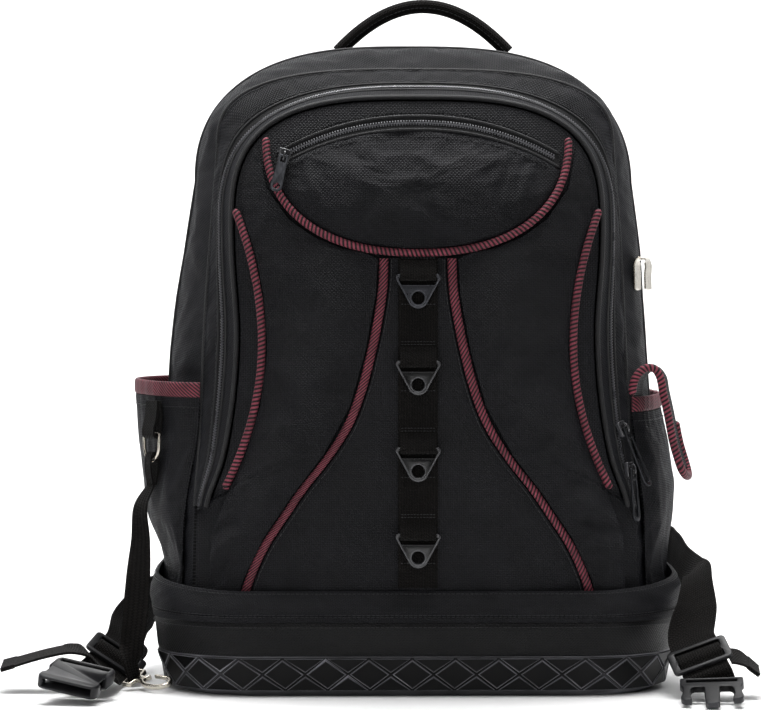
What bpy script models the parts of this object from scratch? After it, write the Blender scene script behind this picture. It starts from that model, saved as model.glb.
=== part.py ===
"""Tool backpack with a moulded base, standing on a floor with its front towards -Y.

Metres, +Z up. The origin is the centre of the base's underside.
"""

import math

import bmesh
import bpy
import numpy as np
from mathutils import Matrix, Vector

# Clearances and wall thicknesses
GAP = 0.0004
SEAM_GAP = 0.0002
VALLEY_GAP = 0.0009
CLOTH = 0.002
BAND_WALL = 0.003
WEBBING = 0.0014

# Base: half width, half depth and corner radius of its plan at each height
CORNER = 0.073
BACK_CORNER_SHARE = 0.45
FLOOR_PLAN = (0.1765, 0.1045)
TRAY_LOW_PLAN = (0.1852, 0.1102)
TRAY_TOP_PLAN = (0.1918, 0.1125)
TRAY_TOP = 0.0293
PAD_LOW = 0.0045
PAD_HIGH = 0.0283
PAD_COUNT = 36
PAD_PHASE = 0.37
PAD_MARGIN = 0.0013
PAD_RISE = 0.0012
TRAY_FLOOR = 0.004
COATED_TOP = 0.0537
LIP_FRONT_TOP = 0.0763
LIP_SIDE_TOP = 0.0885
CLOTH_LOW = 0.0568

# Arched seams of the body: column in the tables below, height of the top, the arch's own height, the
# powers of its curve upwards and across, and its share of the soft body's lean
SEAMS = {
    "front": {"column": 1, "top": 0.437, "arch": 0.100, "rise": 3.0, "run": 3.0, "lean": 0.0},
    "zip": {"column": 2, "top": 0.444, "arch": 0.100, "rise": 2.6, "run": 2.6, "lean": 0.0},
    "valley": {"column": 3, "top": 0.459, "arch": 0.060, "rise": 3.0, "run": 3.0, "lean": 0.25},
    "rear": {"column": 4, "top": 0.480, "arch": 0.102, "rise": 2.2, "run": 2.9, "lean": 1.0},
    "back": {"column": 5, "top": 0.471, "arch": 0.100, "rise": 2.3, "run": 2.7, "lean": 1.0},
}
# height, then how far the soft body leans to the right there
LEAN_ROWS = (
    (0.056, -0.0034),
    (0.200, -0.0040),
    (0.250, -0.0043),
    (0.290, -0.0034),
    (0.325, -0.0014),
    (0.380, -0.0007),
    (0.430, -0.0020),
    (0.480, -0.0022),
)
# height, then the half width at the front, zip, valley, rear and back seams
SIDE_ROWS = (
    (0.056, 0.1600, 0.1625, 0.1635, 0.1810, 0.1745),
    (0.144, 0.1535, 0.1575, 0.1612, 0.1822, 0.1750),
    (0.170, 0.1442, 0.1505, 0.1595, 0.1832, 0.1755),
    (0.200, 0.1384, 0.1465, 0.1580, 0.1826, 0.1752),
    (0.260, 0.1335, 0.1425, 0.1560, 0.1792, 0.1722),
    (0.320, 0.1370, 0.1445, 0.1530, 0.1730, 0.1668),
    (0.400, 0.1380, 0.1445, 0.1470, 0.1617, 0.1565),
)
# height, then the depth (y) at the same seams
DEPTH_ROWS = (
    (0.056, -0.0920, -0.0900, -0.0880, 0.000, 0.092),
    (0.144, -0.0935, -0.0865, -0.0795, 0.000, 0.092),
    (0.200, -0.0920, -0.0790, -0.0640, 0.002, 0.092),
    (0.300, -0.0900, -0.0730, -0.0520, 0.004, 0.092),
    (0.480, -0.0840, -0.0660, -0.0460, 0.006, 0.092),
)
GUSSET_LOW = 0.144
SIDE_STEPS = 6
CROWN_STEPS = 14
CROWN_LOW = 0.36
BACK_PAD = 0.0125

# Front panel: its middle stands proud of its rim
PANEL_MIDDLE = 0.220
PANEL_CROWN = -0.1145
PANEL_FALL = 3.5
PANEL_LOW = 0.060
PANEL_SHOULDER = 0.137
PANEL_BOTTOM_DEPTH = -0.1040
PIPING = 0.0018
BINDING = 0.0028
LIFT = 0.0016

# Top pocket: a U-shaped binding below, an arched zipper above
POCKET_HALF = 0.110
POCKET_RIM = 0.405
POCKET_DROP = 0.0845
POCKET_POWER = 2.3
POCKET_MIDDLE = 0.366
POCKET_BULGE = 0.013
ZIP_TOP = 0.4155
ZIP_FALL = 0.0275
ZIP_HALF_SPAN = 0.103
ZIP_TAPE = 0.0052

# Centre strips: height and half width between them
STRIP_ROWS = (
    (0.0605, 0.1285),
    (0.0805, 0.1230),
    (0.1080, 0.1110),
    (0.1310, 0.0960),
    (0.1500, 0.0830),
    (0.1700, 0.0672),
    (0.1950, 0.0510),
    (0.2220, 0.0405),
    (0.2470, 0.0340),
    (0.2700, 0.0292),
    (0.3000, 0.0250),
    (0.3165, 0.0245),
)
STRIP_WIDTH = 0.0075
STRIP_THICK = 0.0026

# Front pouches: the heights of their rows, and how far they swell at each height
POUCH_HEIGHTS = (0.0605, 0.085, 0.115, 0.145, 0.175, 0.21, 0.25, 0.29, 0.3160, 0.3195, 0.3245)
POUCH_HEIGHTS += (0.332, 0.345, 0.368, 0.397)
POUCH_SWELL = ((0.06, 0.001), (0.12, 0.007), (0.20, 0.006), (0.30, 0.002), (0.36, 0.0))

# Ladder webbing with its four rings
CENTRE_THICK = 0.0015
LADDER_HALF = 0.0144
LADDER_LOW = 0.079
LADDER_TOP = 0.3165
LOOP_HALF = 0.013
RING_TOP = 0.3040
RING_PITCH = 0.0622
RING_COUNT = 4
RING_PLATE = 0.0026

# Side pockets: height, where the wall starts at the front (across and depth), and how far out it reaches
POCKET_ROWS = {
    "left": (
        (0.0580, 0.1725, -0.0770, 0.1898),
        (0.0900, 0.1720, -0.0760, 0.1906),
        (0.1250, 0.1710, -0.0750, 0.2015),
        (0.1550, 0.1670, -0.0725, 0.2052),
        (0.1850, 0.1615, -0.0695, 0.2090),
        (0.2150, 0.1595, -0.0680, 0.2120),
    ),
    "right": (
        (0.0580, 0.1690, -0.0790, 0.1890),
        (0.0900, 0.1680, -0.0780, 0.1908),
        (0.1350, 0.1670, -0.0765, 0.1965),
        (0.1700, 0.1630, -0.0730, 0.1950),
        (0.2045, 0.1590, -0.0695, 0.1885),
    ),
}
POCKET_BACK = {"left": (0.1840, 0.075), "right": (0.1780, 0.075)}
POCKET_BIND = 0.0112
POCKET_RISE = 0.0035
SIDES = {"left": -1, "right": 1}

# Handle: a plain arch of cord whose feet stand on the body's top
HANDLE_CENTRE = 0.0075
HANDLE_SPAN = 0.0655
HANDLE_FOOT = 0.4801
HANDLE_TOP = 0.5152
HANDLE_DEPTH = 0.030
HANDLE_RADIUS = 0.0058


def material(name, colour, roughness, metallic=0.0):
    made = bpy.data.materials.new(name)
    made.use_nodes = True
    shader = made.node_tree.nodes["Principled BSDF"]
    shader.inputs["Base Color"].default_value = (*colour, 1.0)
    shader.inputs["Roughness"].default_value = roughness
    shader.inputs["Metallic"].default_value = metallic
    made.diffuse_color = (*colour, 1.0)
    return made


def clear_scene():
    for old in list(bpy.data.objects):
        bpy.data.objects.remove(old, do_unlink=True)


def through(knots, values, at):
    """A smooth curve through the values, read at the places in at."""
    knots = np.asarray(knots, float)
    values = np.asarray(values, float)
    at = np.clip(np.asarray(at, float), knots[0], knots[-1])
    slope = np.gradient(values, knots, axis=0)
    index = np.clip(np.searchsorted(knots, at, side="right") - 1, 0, len(knots) - 2)
    span = knots[index + 1] - knots[index]
    share = (at - knots[index]) / span
    if values.ndim > 1:
        share = share[..., None]
        span = span[..., None]
    first = values[index]
    last = values[index + 1]
    leave = slope[index] * span
    arrive = slope[index + 1] * span
    rise = last - first
    bend = 3 * rise - 2 * leave - arrive + share * (leave + arrive - 2 * rise)
    return first + share * (leave + share * bend)


def evenly(line, count):
    """The line read again at count + 1 points, an equal length apart."""
    line = np.asarray(line, float)
    steps = np.linalg.norm(np.diff(line[:, :3], axis=0), axis=1)
    length = np.concatenate([[0.0], np.cumsum(steps)])
    places = np.linspace(0.0, length[-1], count + 1)
    return np.column_stack([np.interp(places, length, column) for column in line.T])


def route(rows, count):
    """An even smooth path through the rows, whose first three columns are a position."""
    rows = np.asarray(rows, float)
    steps = np.linalg.norm(np.diff(rows[:, :3], axis=0), axis=1)
    length = np.concatenate([[0.0], np.cumsum(steps)])
    dense = through(length, rows, np.linspace(0.0, length[-1], 12 * len(rows)))
    return evenly(dense, count)


def mesh_object(name, points, faces, finish, smooth=True):
    """An object of one closed mesh, with its faces turned outwards."""
    mesh = bpy.data.meshes.new(name)
    mesh.from_pydata([tuple(map(float, p)) for p in points], [], faces)
    shape = bmesh.new()
    shape.from_mesh(mesh)
    bmesh.ops.recalc_face_normals(shape, faces=shape.faces)
    shape.to_mesh(mesh)
    shape.free()
    return add_object(name, mesh, finish, smooth)


def add_object(name, mesh, finish, smooth=True):
    made = bpy.data.objects.new(name, mesh)
    mesh.materials.clear()
    mesh.materials.append(finish)
    bpy.context.scene.collection.objects.link(made)
    if smooth:
        mesh.shade_smooth()
        mesh.set_sharp_from_angle(angle=math.radians(40))
    return made


def helper(made):
    """Keeps an object as a guide or a cutter only."""
    made.hide_render = True
    made.display_type = "WIRE"
    return made


def combine(target, other, operation):
    """Joins a helper to the target, or cuts it out."""
    modifier = target.modifiers.new(other.name, "BOOLEAN")
    modifier.operation = operation
    modifier.solver = "EXACT"
    modifier.object = helper(other)
    return target


def wall(name, outer, inner, finish, wrap=False):
    """A closed wall between two matching grids of points, rows by columns."""
    rows, columns = outer.shape[:2]
    points = np.concatenate([outer.reshape(-1, 3), inner.reshape(-1, 3)])
    turns = columns if wrap else columns - 1

    def corner(side, row, column):
        return side * rows * columns + row * columns + column % columns

    faces = []
    for row in range(rows - 1):
        for column in range(turns):
            quad = ((row, column), (row, column + 1), (row + 1, column + 1), (row + 1, column))
            faces.append([corner(0, *place) for place in quad])
            faces.append([corner(1, *place) for place in reversed(quad)])
    for row in (0, rows - 1):
        for column in range(turns):
            pair = (corner(0, row, column), corner(0, row, column + 1))
            faces.append([*pair, corner(1, row, column + 1), corner(1, row, column)])
    if not wrap:
        for column in (0, columns - 1):
            for row in range(rows - 1):
                pair = (corner(0, row, column), corner(0, row + 1, column))
                faces.append([*pair, corner(1, row + 1, column), corner(1, row, column)])
    return mesh_object(name, points, faces, finish)


def thickened(grid, thickness):
    """The grid moved off itself along its own normals."""
    along_rows = np.gradient(grid, axis=0)
    along_columns = np.gradient(grid, axis=1)
    normal = np.cross(along_rows, along_columns)
    normal /= np.linalg.norm(normal, axis=2, keepdims=True)
    return grid + normal * thickness


def disc(name, rim, middle, shares, face_depth, thickness, finish):
    """A wall that fills a rim seen from the front, in rings that close on the middle."""
    rim = np.asarray(rim, float)
    middle = np.asarray(middle, float)
    count = len(rim)
    layers = []
    for side in (0.0, thickness):
        rings = [middle + share * (rim - middle) for share in shares]
        flat = np.concatenate([*rings, middle[None]])
        share_of = np.repeat([*shares, 0.0], [count] * len(shares) + [1])
        depth = face_depth(flat[:, 0], flat[:, 1], share_of) + side
        layers.append(np.column_stack([flat[:, 0], depth, flat[:, 1]]))
    size = len(layers[0])
    faces = []
    for side in (0, 1):
        base = side * size
        for ring in range(len(shares) - 1):
            for place in range(count):
                after = (place + 1) % count
                low = base + ring * count
                high = low + count
                faces.append([low + place, low + after, high + after, high + place])
        last = base + (len(shares) - 1) * count
        for place in range(count):
            faces.append([last + place, last + (place + 1) % count, base + size - 1])
    for place in range(count):
        after = (place + 1) % count
        faces.append([place, after, size + after, size + place])
    return mesh_object(name, np.concatenate(layers), faces, finish)


def circle(radius, sides, flatten=1.0):
    turn = np.arange(sides) * 2 * math.pi / sides
    return np.column_stack([radius * np.cos(turn), radius * flatten * np.sin(turn)])


def slab(width, thickness):
    half = width / 2
    rise = thickness / 2
    return np.array([(-half, -rise), (half, -rise), (half, rise), (-half, rise)])


def pad(width, thickness, edge):
    """A slab with its long edges taken off."""
    half = width / 2
    rise = thickness / 2
    right = [(half - edge, -rise), (half, 0.0), (half - edge, rise)]
    return np.array(right + [(-x, y) for x, y in reversed(right)])


def sweep(name, path, across, profile, finish, closed=False):
    """A solid with the profile carried along the path. Across gives the profile's own first axis."""
    path = np.asarray(path, float)
    profile = np.broadcast_to(profile, (len(path), *np.shape(profile)[-2:]))
    across = np.broadcast_to(np.asarray(across, float), path.shape)
    if closed:
        tangent = np.roll(path, -1, axis=0) - np.roll(path, 1, axis=0)
    else:
        tangent = np.gradient(path, axis=0)
    tangent = tangent / np.linalg.norm(tangent, axis=1, keepdims=True)
    side = across - np.sum(across * tangent, axis=1, keepdims=True) * tangent
    side = side / np.linalg.norm(side, axis=1, keepdims=True)
    rise = np.cross(tangent, side)
    rings = path[:, None] + side[:, None] * profile[:, :, :1] + rise[:, None] * profile[:, :, 1:]
    count = len(path)
    sides = profile.shape[1]
    faces = []
    for step in range(count if closed else count - 1):
        for place in range(sides):
            after = (place + 1) % sides
            low = step * sides
            high = (step + 1) % count * sides
            faces.append([low + place, low + after, high + after, high + place])
    if not closed:
        faces.append(list(range(sides)))
        faces.append([(count - 1) * sides + place for place in range(sides)])
    return mesh_object(name, rings.reshape(-1, 3), faces, finish)


def ribbon(name, line, thickness, finish):
    """Flat webbing along a line of positions, with the direction of its width and the width itself."""
    profiles = np.array([slab(width, thickness) for width in line[:, 6]])
    return sweep(name, line[:, :3], line[:, 3:6], profiles, finish)


def of_width(rows, width):
    """The rows with one width added to all of them."""
    return [(*row, width) for row in rows]


def plate(name, outlines, thickness, finish):
    """A flat plate in its own XZ plane, from an outline and the outlines of its holes."""
    drawing = bpy.data.curves.new(name, "CURVE")
    drawing.dimensions = "2D"
    drawing.fill_mode = "BOTH"
    drawing.extrude = thickness / 2
    for outline in outlines:
        spline = drawing.splines.new("POLY")
        spline.points.add(len(outline) - 1)
        for point, (x, z) in zip(spline.points, outline):
            point.co = (x, z, 0.0, 1.0)
        spline.use_cyclic_u = True
    drawn = bpy.data.objects.new(name + "_drawing", drawing)
    bpy.context.scene.collection.objects.link(drawn)
    bpy.context.view_layer.update()
    mesh = bpy.data.meshes.new_from_object(drawn)
    bpy.data.objects.remove(drawn, do_unlink=True)
    mesh.transform(Matrix.Rotation(math.pi / 2, 4, "X"))
    shape = bmesh.new()
    shape.from_mesh(mesh)
    bmesh.ops.remove_doubles(shape, verts=shape.verts, dist=1e-6)
    bmesh.ops.recalc_face_normals(shape, faces=shape.faces)
    shape.to_mesh(mesh)
    shape.free()
    mesh.name = name
    return add_object(name, mesh, finish)


def arc(centre, radius, start, end, count):
    """Points on an arc in the XZ plane, between two angles in degrees."""
    turn = np.radians(np.linspace(start, end, count))
    return [(centre[0] + radius * math.cos(a), centre[1] + radius * math.sin(a)) for a in turn]


def rounded(half_wide, half_high, radius, centre=(0.0, 0.0), steps=3):
    """A rectangle's outline with round corners."""
    outline = []
    for turn, (sx, sz) in enumerate(((1, 1), (-1, 1), (-1, -1), (1, -1))):
        corner = (centre[0] + sx * (half_wide - radius), centre[1] + sz * (half_high - radius))
        outline += arc(corner, radius, 90 * turn, 90 * turn + 90, steps)
    return outline


def place(made, origin, right, up):
    """Puts a piece's own X along right and its Z along up, with its front at -Y."""
    up = Vector(up).normalized()
    right = Vector(right)
    right = (right - right.dot(up) * up).normalized()
    back = up.cross(right)
    made.matrix_world = Matrix.Translation(origin) @ Matrix((right, back, up)).transposed().to_4x4()
    return made


# The seams of the body


def half_width(seam, height):
    rows = np.array(SIDE_ROWS)
    settings = SEAMS[seam]
    shoulder = settings["top"] - settings["arch"]
    height = np.asarray(height, float)
    side = through(rows[:, 0], rows[:, settings["column"]], np.minimum(height, shoulder))
    climb = np.clip((height - shoulder) / settings["arch"], 0.0, 1.0)
    return side * (1 - climb ** settings["rise"]) ** (1 / settings["run"])


def seam_depth(seam, height):
    rows = np.array(DEPTH_ROWS)
    return through(rows[:, 0], rows[:, SEAMS[seam]["column"]], height)


def seam_line(seam, low):
    """The seam from its low right end, over the top, to its low left end."""
    settings = SEAMS[seam]
    turn = np.linspace(0.0, math.pi / 2, 80)
    shoulder = settings["top"] - settings["arch"]
    crown = shoulder + settings["arch"] * np.sin(turn) ** (2 / settings["rise"])
    crown_across = half_width(seam, shoulder) * np.cos(turn) ** (2 / settings["run"])
    sides = np.linspace(low, max(CROWN_LOW, shoulder), 60)
    above = crown > sides[-1]
    heights = np.concatenate([sides, crown[above]])
    right = np.column_stack([np.concatenate([half_width(seam, sides), crown_across[above]]), heights])
    side = evenly(right[right[:, 1] <= CROWN_LOW], SIDE_STEPS)
    top = right[right[:, 1] >= side[-1, 1]]
    top = evenly(np.concatenate([top, top[-2::-1] * (-1, 1)]), CROWN_STEPS)
    flat = np.concatenate([side[:-1], top, side[-2::-1] * (-1, 1)])
    lean = settings["lean"] * np.interp(flat[:, 1], *np.transpose(LEAN_ROWS))
    return np.column_stack([flat[:, 0] + lean, seam_depth(seam, flat[:, 1]), flat[:, 1]])


def inward(line, distance):
    """The line moved towards its own inside, in the plane of the front."""
    tangent = np.gradient(line[:, [0, 2]], axis=0)
    tangent /= np.linalg.norm(tangent, axis=1, keepdims=True)
    moved = line.copy()
    moved[:, 0] -= tangent[:, 1] * distance
    moved[:, 2] += tangent[:, 0] * distance
    return moved


def arched_band(name, lines, thickness, finish):
    outer = np.array(lines)
    inner = np.array([inward(line, thickness) for line in lines])
    return wall(name, outer, inner, finish)


def shifted(line, depth):
    return line + np.array((0.0, depth, 0.0))


def front_compartment(finishes):
    """Piping, zip band, zipper and gusset between the front panel and the valley seam."""
    front = seam_line("front", GUSSET_LOW)
    zipper = seam_line("zip", GUSSET_LOW)
    valley = seam_line("valley", GUSSET_LOW)
    before = front + 0.66 * (zipper - front)
    after = zipper + 0.22 * (valley - zipper)
    puffed = inward(zipper + 0.6 * (valley - zipper), -0.0015)
    sweep(
        "front_piping",
        inward(front, PIPING),
        (0.0, 1.0, 0.0),
        circle(PIPING, 5),
        finishes["piping"],
    )
    start = shifted(front, PIPING + SEAM_GAP)
    arched_band("front_zip_band", [start, shifted(before, -SEAM_GAP)], CLOTH, finishes["cloth"])
    zip_lines = [shifted(before, SEAM_GAP), zipper, shifted(after, -SEAM_GAP)]
    arched_band("front_zipper", zip_lines, CLOTH, finishes["zip"])
    gusset_lines = [shifted(after, SEAM_GAP), puffed, shifted(valley, -VALLEY_GAP)]
    arched_band("front_gusset", gusset_lines, CLOTH, finishes["cloth"])


def rear_compartment(finishes):
    """The deep main compartment: two bands with a zipper between them, and the padded back."""
    valley = seam_line("valley", CLOTH_LOW)
    rear = seam_line("rear", CLOTH_LOW)
    back = seam_line("back", CLOTH_LOW)
    puffed = valley + 0.62 * (rear - valley)
    puffed[:, 1] = valley[:, 1] + 0.34 * (rear[:, 1] - valley[:, 1])
    tape = 0.005
    front_lines = [shifted(valley, SEAM_GAP), puffed, shifted(rear, -tape - SEAM_GAP)]
    arched_band("rear_band_front", front_lines, CLOTH, finishes["cloth"])
    arched_band("rear_zipper", [shifted(rear, -tape), shifted(rear, tape)], CLOTH, finishes["zip"])
    middle = inward(rear + 0.5 * (back - rear), -0.002)
    back_lines = [shifted(rear, tape + SEAM_GAP), middle, shifted(back, -SEAM_GAP)]
    arched_band("rear_band_back", back_lines, CLOTH, finishes["cloth"])
    rim = seam_line("back", CLOTH_LOW)[:, [0, 2]]
    depth = seam_depth("back", 0.2) + SEAM_GAP

    def padded(x, z, share):
        return depth + 0.0 * x

    panel = disc("back_panel", rim, (0.0, 0.26), (1.0, 0.94, 0.5), padded, BACK_PAD, finishes["mesh"])
    for vertex in panel.data.vertices:
        if vertex.co.y > depth + BACK_PAD / 2:
            outward = math.hypot(vertex.co.x / 0.18, (vertex.co.z - 0.26) / 0.21)
            vertex.co.y -= 0.006 * max(0.0, min(1.0, (outward - 0.80) / 0.2))


# The front panel and what is sewn on it


def panel_rim():
    """The front panel's outline, anticlockwise from the low right corner, with its depth."""
    low_side = np.linspace(PANEL_LOW, PANEL_SHOULDER, 4)
    side = np.column_stack(
        [half_width("valley", low_side) - 0.0012, seam_depth("valley", low_side) - 0.0028, low_side]
    )
    arch = inward(seam_line("front", GUSSET_LOW), 2 * PIPING + 0.0013)
    arch[:, 1] -= 0.001
    other = side[::-1] * (-1, 1, 1)
    across = np.array((-0.95, -0.85, -0.7, -0.45, -0.15, 0.15, 0.45, 0.7, 0.85, 0.95))
    corner_x = side[0, 0]
    corner_y = side[0, 1]
    sag = PANEL_BOTTOM_DEPTH + (corner_y - PANEL_BOTTOM_DEPTH) * np.abs(across) ** 4
    bottom = np.column_stack([across * corner_x, sag, np.full(len(across), PANEL_LOW)])
    return np.concatenate([side, arch, other, bottom])


def front_surface(x, z):
    """The depth of the front panel's face."""
    angle = np.arctan2(np.asarray(z, float) - PANEL_MIDDLE, np.asarray(x, float))
    rim_angle = np.arctan2(RIM[:, 2] - PANEL_MIDDLE, RIM[:, 0])
    order = np.argsort(rim_angle)
    rim_radius = np.hypot(RIM[:, 0], RIM[:, 2] - PANEL_MIDDLE)
    reach = np.interp(angle, rim_angle[order], rim_radius[order], period=2 * math.pi)
    rim_depth = np.interp(angle, rim_angle[order], RIM[order, 1], period=2 * math.pi)
    share = np.clip(np.hypot(x, np.asarray(z) - PANEL_MIDDLE) / reach, 0.0, 1.0)
    return PANEL_CROWN + (rim_depth - PANEL_CROWN) * share**PANEL_FALL


RIM = panel_rim()


def on_front(x, z, lift):
    """Points on the front panel, raised by lift."""
    x, z, lift = np.broadcast_arrays(np.asarray(x, float), np.asarray(z, float), np.asarray(lift, float))
    return np.stack([x, front_surface(x, z) - lift, z], axis=-1)


def overlay(name, x, z, lift, thickness, finish):
    """A sheet that follows the front panel at a given lift."""
    inner = on_front(x, z, lift)
    outer = inner - np.array((0.0, thickness, 0.0))
    return wall(name, outer, inner, finish)


def u_half(z):
    drop = np.clip((POCKET_RIM - np.asarray(z, float)) / POCKET_DROP, 0.0, 1.0)
    return POCKET_HALF * (1 - drop**POCKET_POWER) ** (1 / POCKET_POWER)


def u_curve(count, inset=0.0):
    """The pocket's U from its right end round the bottom to its left end."""
    turn = np.linspace(0.0, math.pi, 90)
    power = 2 / POCKET_POWER
    across = np.sign(np.cos(turn)) * np.abs(np.cos(turn)) ** power
    x = (POCKET_HALF - inset) * across
    z = POCKET_RIM - (POCKET_DROP - inset) * np.sin(turn) ** power
    return evenly(np.column_stack([x, z]), count)


def zip_height(x):
    return ZIP_TOP - ZIP_FALL * (np.abs(x) / ZIP_HALF_SPAN) ** 2.2


def strip_half(z):
    rows = np.array(STRIP_ROWS)
    return through(rows[:, 0], rows[:, 1], z)


def pouch_edge(z):
    """Half the width between the two pouch mouths, narrowest at the waist."""
    from_waist = np.asarray(z, float) - 0.255
    return 0.1128 + np.where(from_waist > 0, 2.07, 2.45) * from_waist**2


def front_panel(finishes):
    def face(x, z, share):
        return front_surface(x, z)

    rim = RIM[:, [0, 2]]
    disc("front_panel", rim, (0.0, PANEL_MIDDLE), (1.0, 0.9, 0.65), face, CLOTH, finishes["cloth"])


def top_pocket(finishes):
    across = np.linspace(0.0980, -0.0980, 10)
    upper = np.column_stack([across, zip_height(across) - ZIP_TAPE - GAP])
    lower = u_curve(22, BINDING + GAP)
    lower = lower[(lower[:, 1] < upper[0, 1] - 0.004)][::-1]
    rim = np.concatenate([upper, lower])

    def face(x, z, share):
        bulge = POCKET_BULGE * (1 - share**2) ** 0.8
        return front_surface(x, z) - LIFT - CLOTH - bulge

    disc("top_pocket", rim, (0.0, POCKET_MIDDLE), (1.0, 0.82, 0.45), face, CLOTH, finishes["cloth"])
    along = np.linspace(-ZIP_HALF_SPAN, ZIP_HALF_SPAN, 13)
    x = np.array([along, along])
    z = np.array([zip_height(along) + ZIP_TAPE, zip_height(along) - ZIP_TAPE])
    overlay("top_pocket_zipper", x, z, LIFT, CLOTH, finishes["zip"])
    line = u_curve(24)
    line = on_front(line[:, 0], line[:, 1], BINDING + LIFT)
    sweep("top_pocket_binding", line, (0, 1, 0), circle(BINDING, 5), finishes["binding"])


def front_pouches(finishes):
    """Two soft pouches beside the centre strips, each with a piped mouth at its outer edge."""
    heights = np.array(POUCH_HEIGHTS)
    share = np.linspace(0.0, 1.0, 5)
    z = np.repeat(heights[:, None], len(share), axis=1)
    beside_strip = strip_half(heights) + STRIP_WIDTH / 2
    beside_pocket = u_half(heights + BINDING) + BINDING + 0.0022
    inner = np.maximum(beside_strip, beside_pocket) + 2 * GAP
    mouth = np.minimum(pouch_edge(heights) - BINDING - 0.0012, half_width("valley", heights) - 0.006)
    outer = np.minimum(mouth, half_width("front", heights) - 0.0085)
    x = inner[:, None] + share * (outer - inner)[:, None]
    swell = np.interp(heights, *np.transpose(POUCH_SWELL))
    lift = LIFT + 0.0006 + swell[:, None] * np.sin(math.pi * share) ** 0.8
    for word, side in SIDES.items():
        overlay(f"{word}_front_pouch", side * x, z, lift, CLOTH, finishes["cloth"])
        z_line = np.linspace(0.1500, 0.353, 12)
        line = on_front(side * pouch_edge(z_line), z_line, BINDING + LIFT + 2 * GAP)
        sweep(f"{word}_pouch_piping", line, (0, 1, 0), circle(BINDING, 5), finishes["binding"])


def centre_strips(finishes):
    heights = np.linspace(0.0605, 0.3165, 13)
    for word, side in SIDES.items():
        middle = strip_half(heights)
        half = STRIP_WIDTH / 2 - GAP
        x = np.stack([middle - half, middle + half], axis=1) * side
        z = np.repeat(heights[:, None], 2, axis=1)
        overlay(f"{word}_centre_strip", x, z, LIFT, STRIP_THICK, finishes["binding"])
    heights = heights[[0, 1, 2, 3, 4, 5, 6, 7, 9, 10, 12]]
    share = np.array((-1.0, -0.8, -0.45, 0.0, 0.45, 0.8, 1.0))
    x = share * (strip_half(heights) - STRIP_WIDTH / 2 - GAP - 0.0005)[:, None]
    z = np.repeat(heights[:, None], len(share), axis=1)
    overlay("centre_panel", x, z, LIFT, CENTRE_THICK, finishes["cloth"])


# Ladder webbing and rings

LOOP_BACK = 0.0041
# The loop's outer profile, forward and up from the ring's bar
LOOP_PROFILE = (
    (0.0038, 0.0000),
    (0.0032, -0.0022),
    (0.0019, -0.0033),
    (0.0000, -0.0038),
    (-0.0019, -0.0033),
    (-0.0032, -0.0022),
    (-LOOP_BACK, 0.0000),
    (-LOOP_BACK, 0.0040),
    (-LOOP_BACK, 0.0090),
    (-0.0030, 0.0115),
    (-0.0005, 0.0072),
    (0.0022, 0.0038),
)
LOOP_HOLE = 0.0023


def ladder(finishes):
    lift = LIFT + CENTRE_THICK + GAP
    z = np.linspace(LADDER_LOW, LADDER_TOP, 9)
    x = np.array([[-LADDER_HALF, LADDER_HALF]] * len(z))
    surface = front_surface(0.0 * z, z)
    inner = np.stack([x, np.stack([surface, surface], axis=1) - lift, np.stack([z, z], axis=1)], axis=-1)
    outer = inner - np.array((0.0, 0.0016, 0.0))
    strip = wall("ladder_webbing", outer, inner, finishes["webbing"])
    for number in range(RING_COUNT):
        height = RING_TOP - number * RING_PITCH
        face = float(front_surface(0.0, height)) - lift - 0.0016
        axis = np.array((0.0, face - LOOP_BACK + 0.0008, height))
        profile = np.array(LOOP_PROFILE)
        turn = np.arctan2(profile[:, 1], profile[:, 0])
        hole = np.column_stack([np.cos(turn), np.sin(turn)]) * LOOP_HOLE
        grids = []
        for outline in (profile, hole):
            ends = []
            for across in (-LOOP_HALF, LOOP_HALF):
                ends.append([axis + (across, -forward, rise) for forward, rise in outline])
            grids.append(np.array(ends))
        loop = wall(f"loop_{number + 1}", grids[0], grids[1], finishes["webbing"], wrap=True)
        combine(strip, loop, "UNION")
        ring = plate(f"ring_{number + 1}", ring_outlines(), RING_PLATE, finishes["steel"])
        place(ring, axis, (1, 0, 0), (0, 0, 1))


def ring_outlines():
    """A rounded triangle with a slot for the webbing and a round hole, about the bar's axis."""
    tip = (0.0, -0.0160)
    outline = arc((0.0137, -0.0013), 0.0025, 90, -30, 3)
    outline += arc(tip, 0.0076, -32, -148, 7)
    outline += arc((-0.0137, -0.0013), 0.0025, 210, 90, 3)
    slot = rounded(0.0137, 0.00275, 0.0012, (0.0, -0.00395), 2)
    hole = arc(tip, 0.0045, 0, 315, 8)
    return outline, slot, hole


# Zip pulls

BAIL_SEAT = 0.0038
BAIL_AXIS = 0.0054
# The bail's path: forward of the zipper and along it
BAIL_ROWS = (
    (0.0032, 0.0034),
    (0.0058, 0.0034),
    (0.0072, 0.0022),
    (0.0076, 0.0000),
    (0.0072, -0.0022),
    (0.0058, -0.0034),
    (0.0032, -0.0034),
)


def zip_slider(name, finish):
    """A slider with its bail, in its own frame: X across the zipper, Z along it, front at -Y."""
    outline = [(0.0045, 0.0055), (-0.0045, 0.0055), (-0.0036, -0.0055), (0.0036, -0.0055)]
    body = plate(name, [outline], BAIL_SEAT - GAP, finish)
    body.data.transform(Matrix.Translation((0.0, -(BAIL_SEAT + GAP) / 2, 0.0)))
    path = [(0.0, -forward, rise) for forward, rise in BAIL_ROWS]
    bail = sweep(name + "_bail", path, (1, 0, 0), slab(0.0014, 0.0012), finish)
    bail.parent = body
    return combine(body, bail, "UNION")


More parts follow.
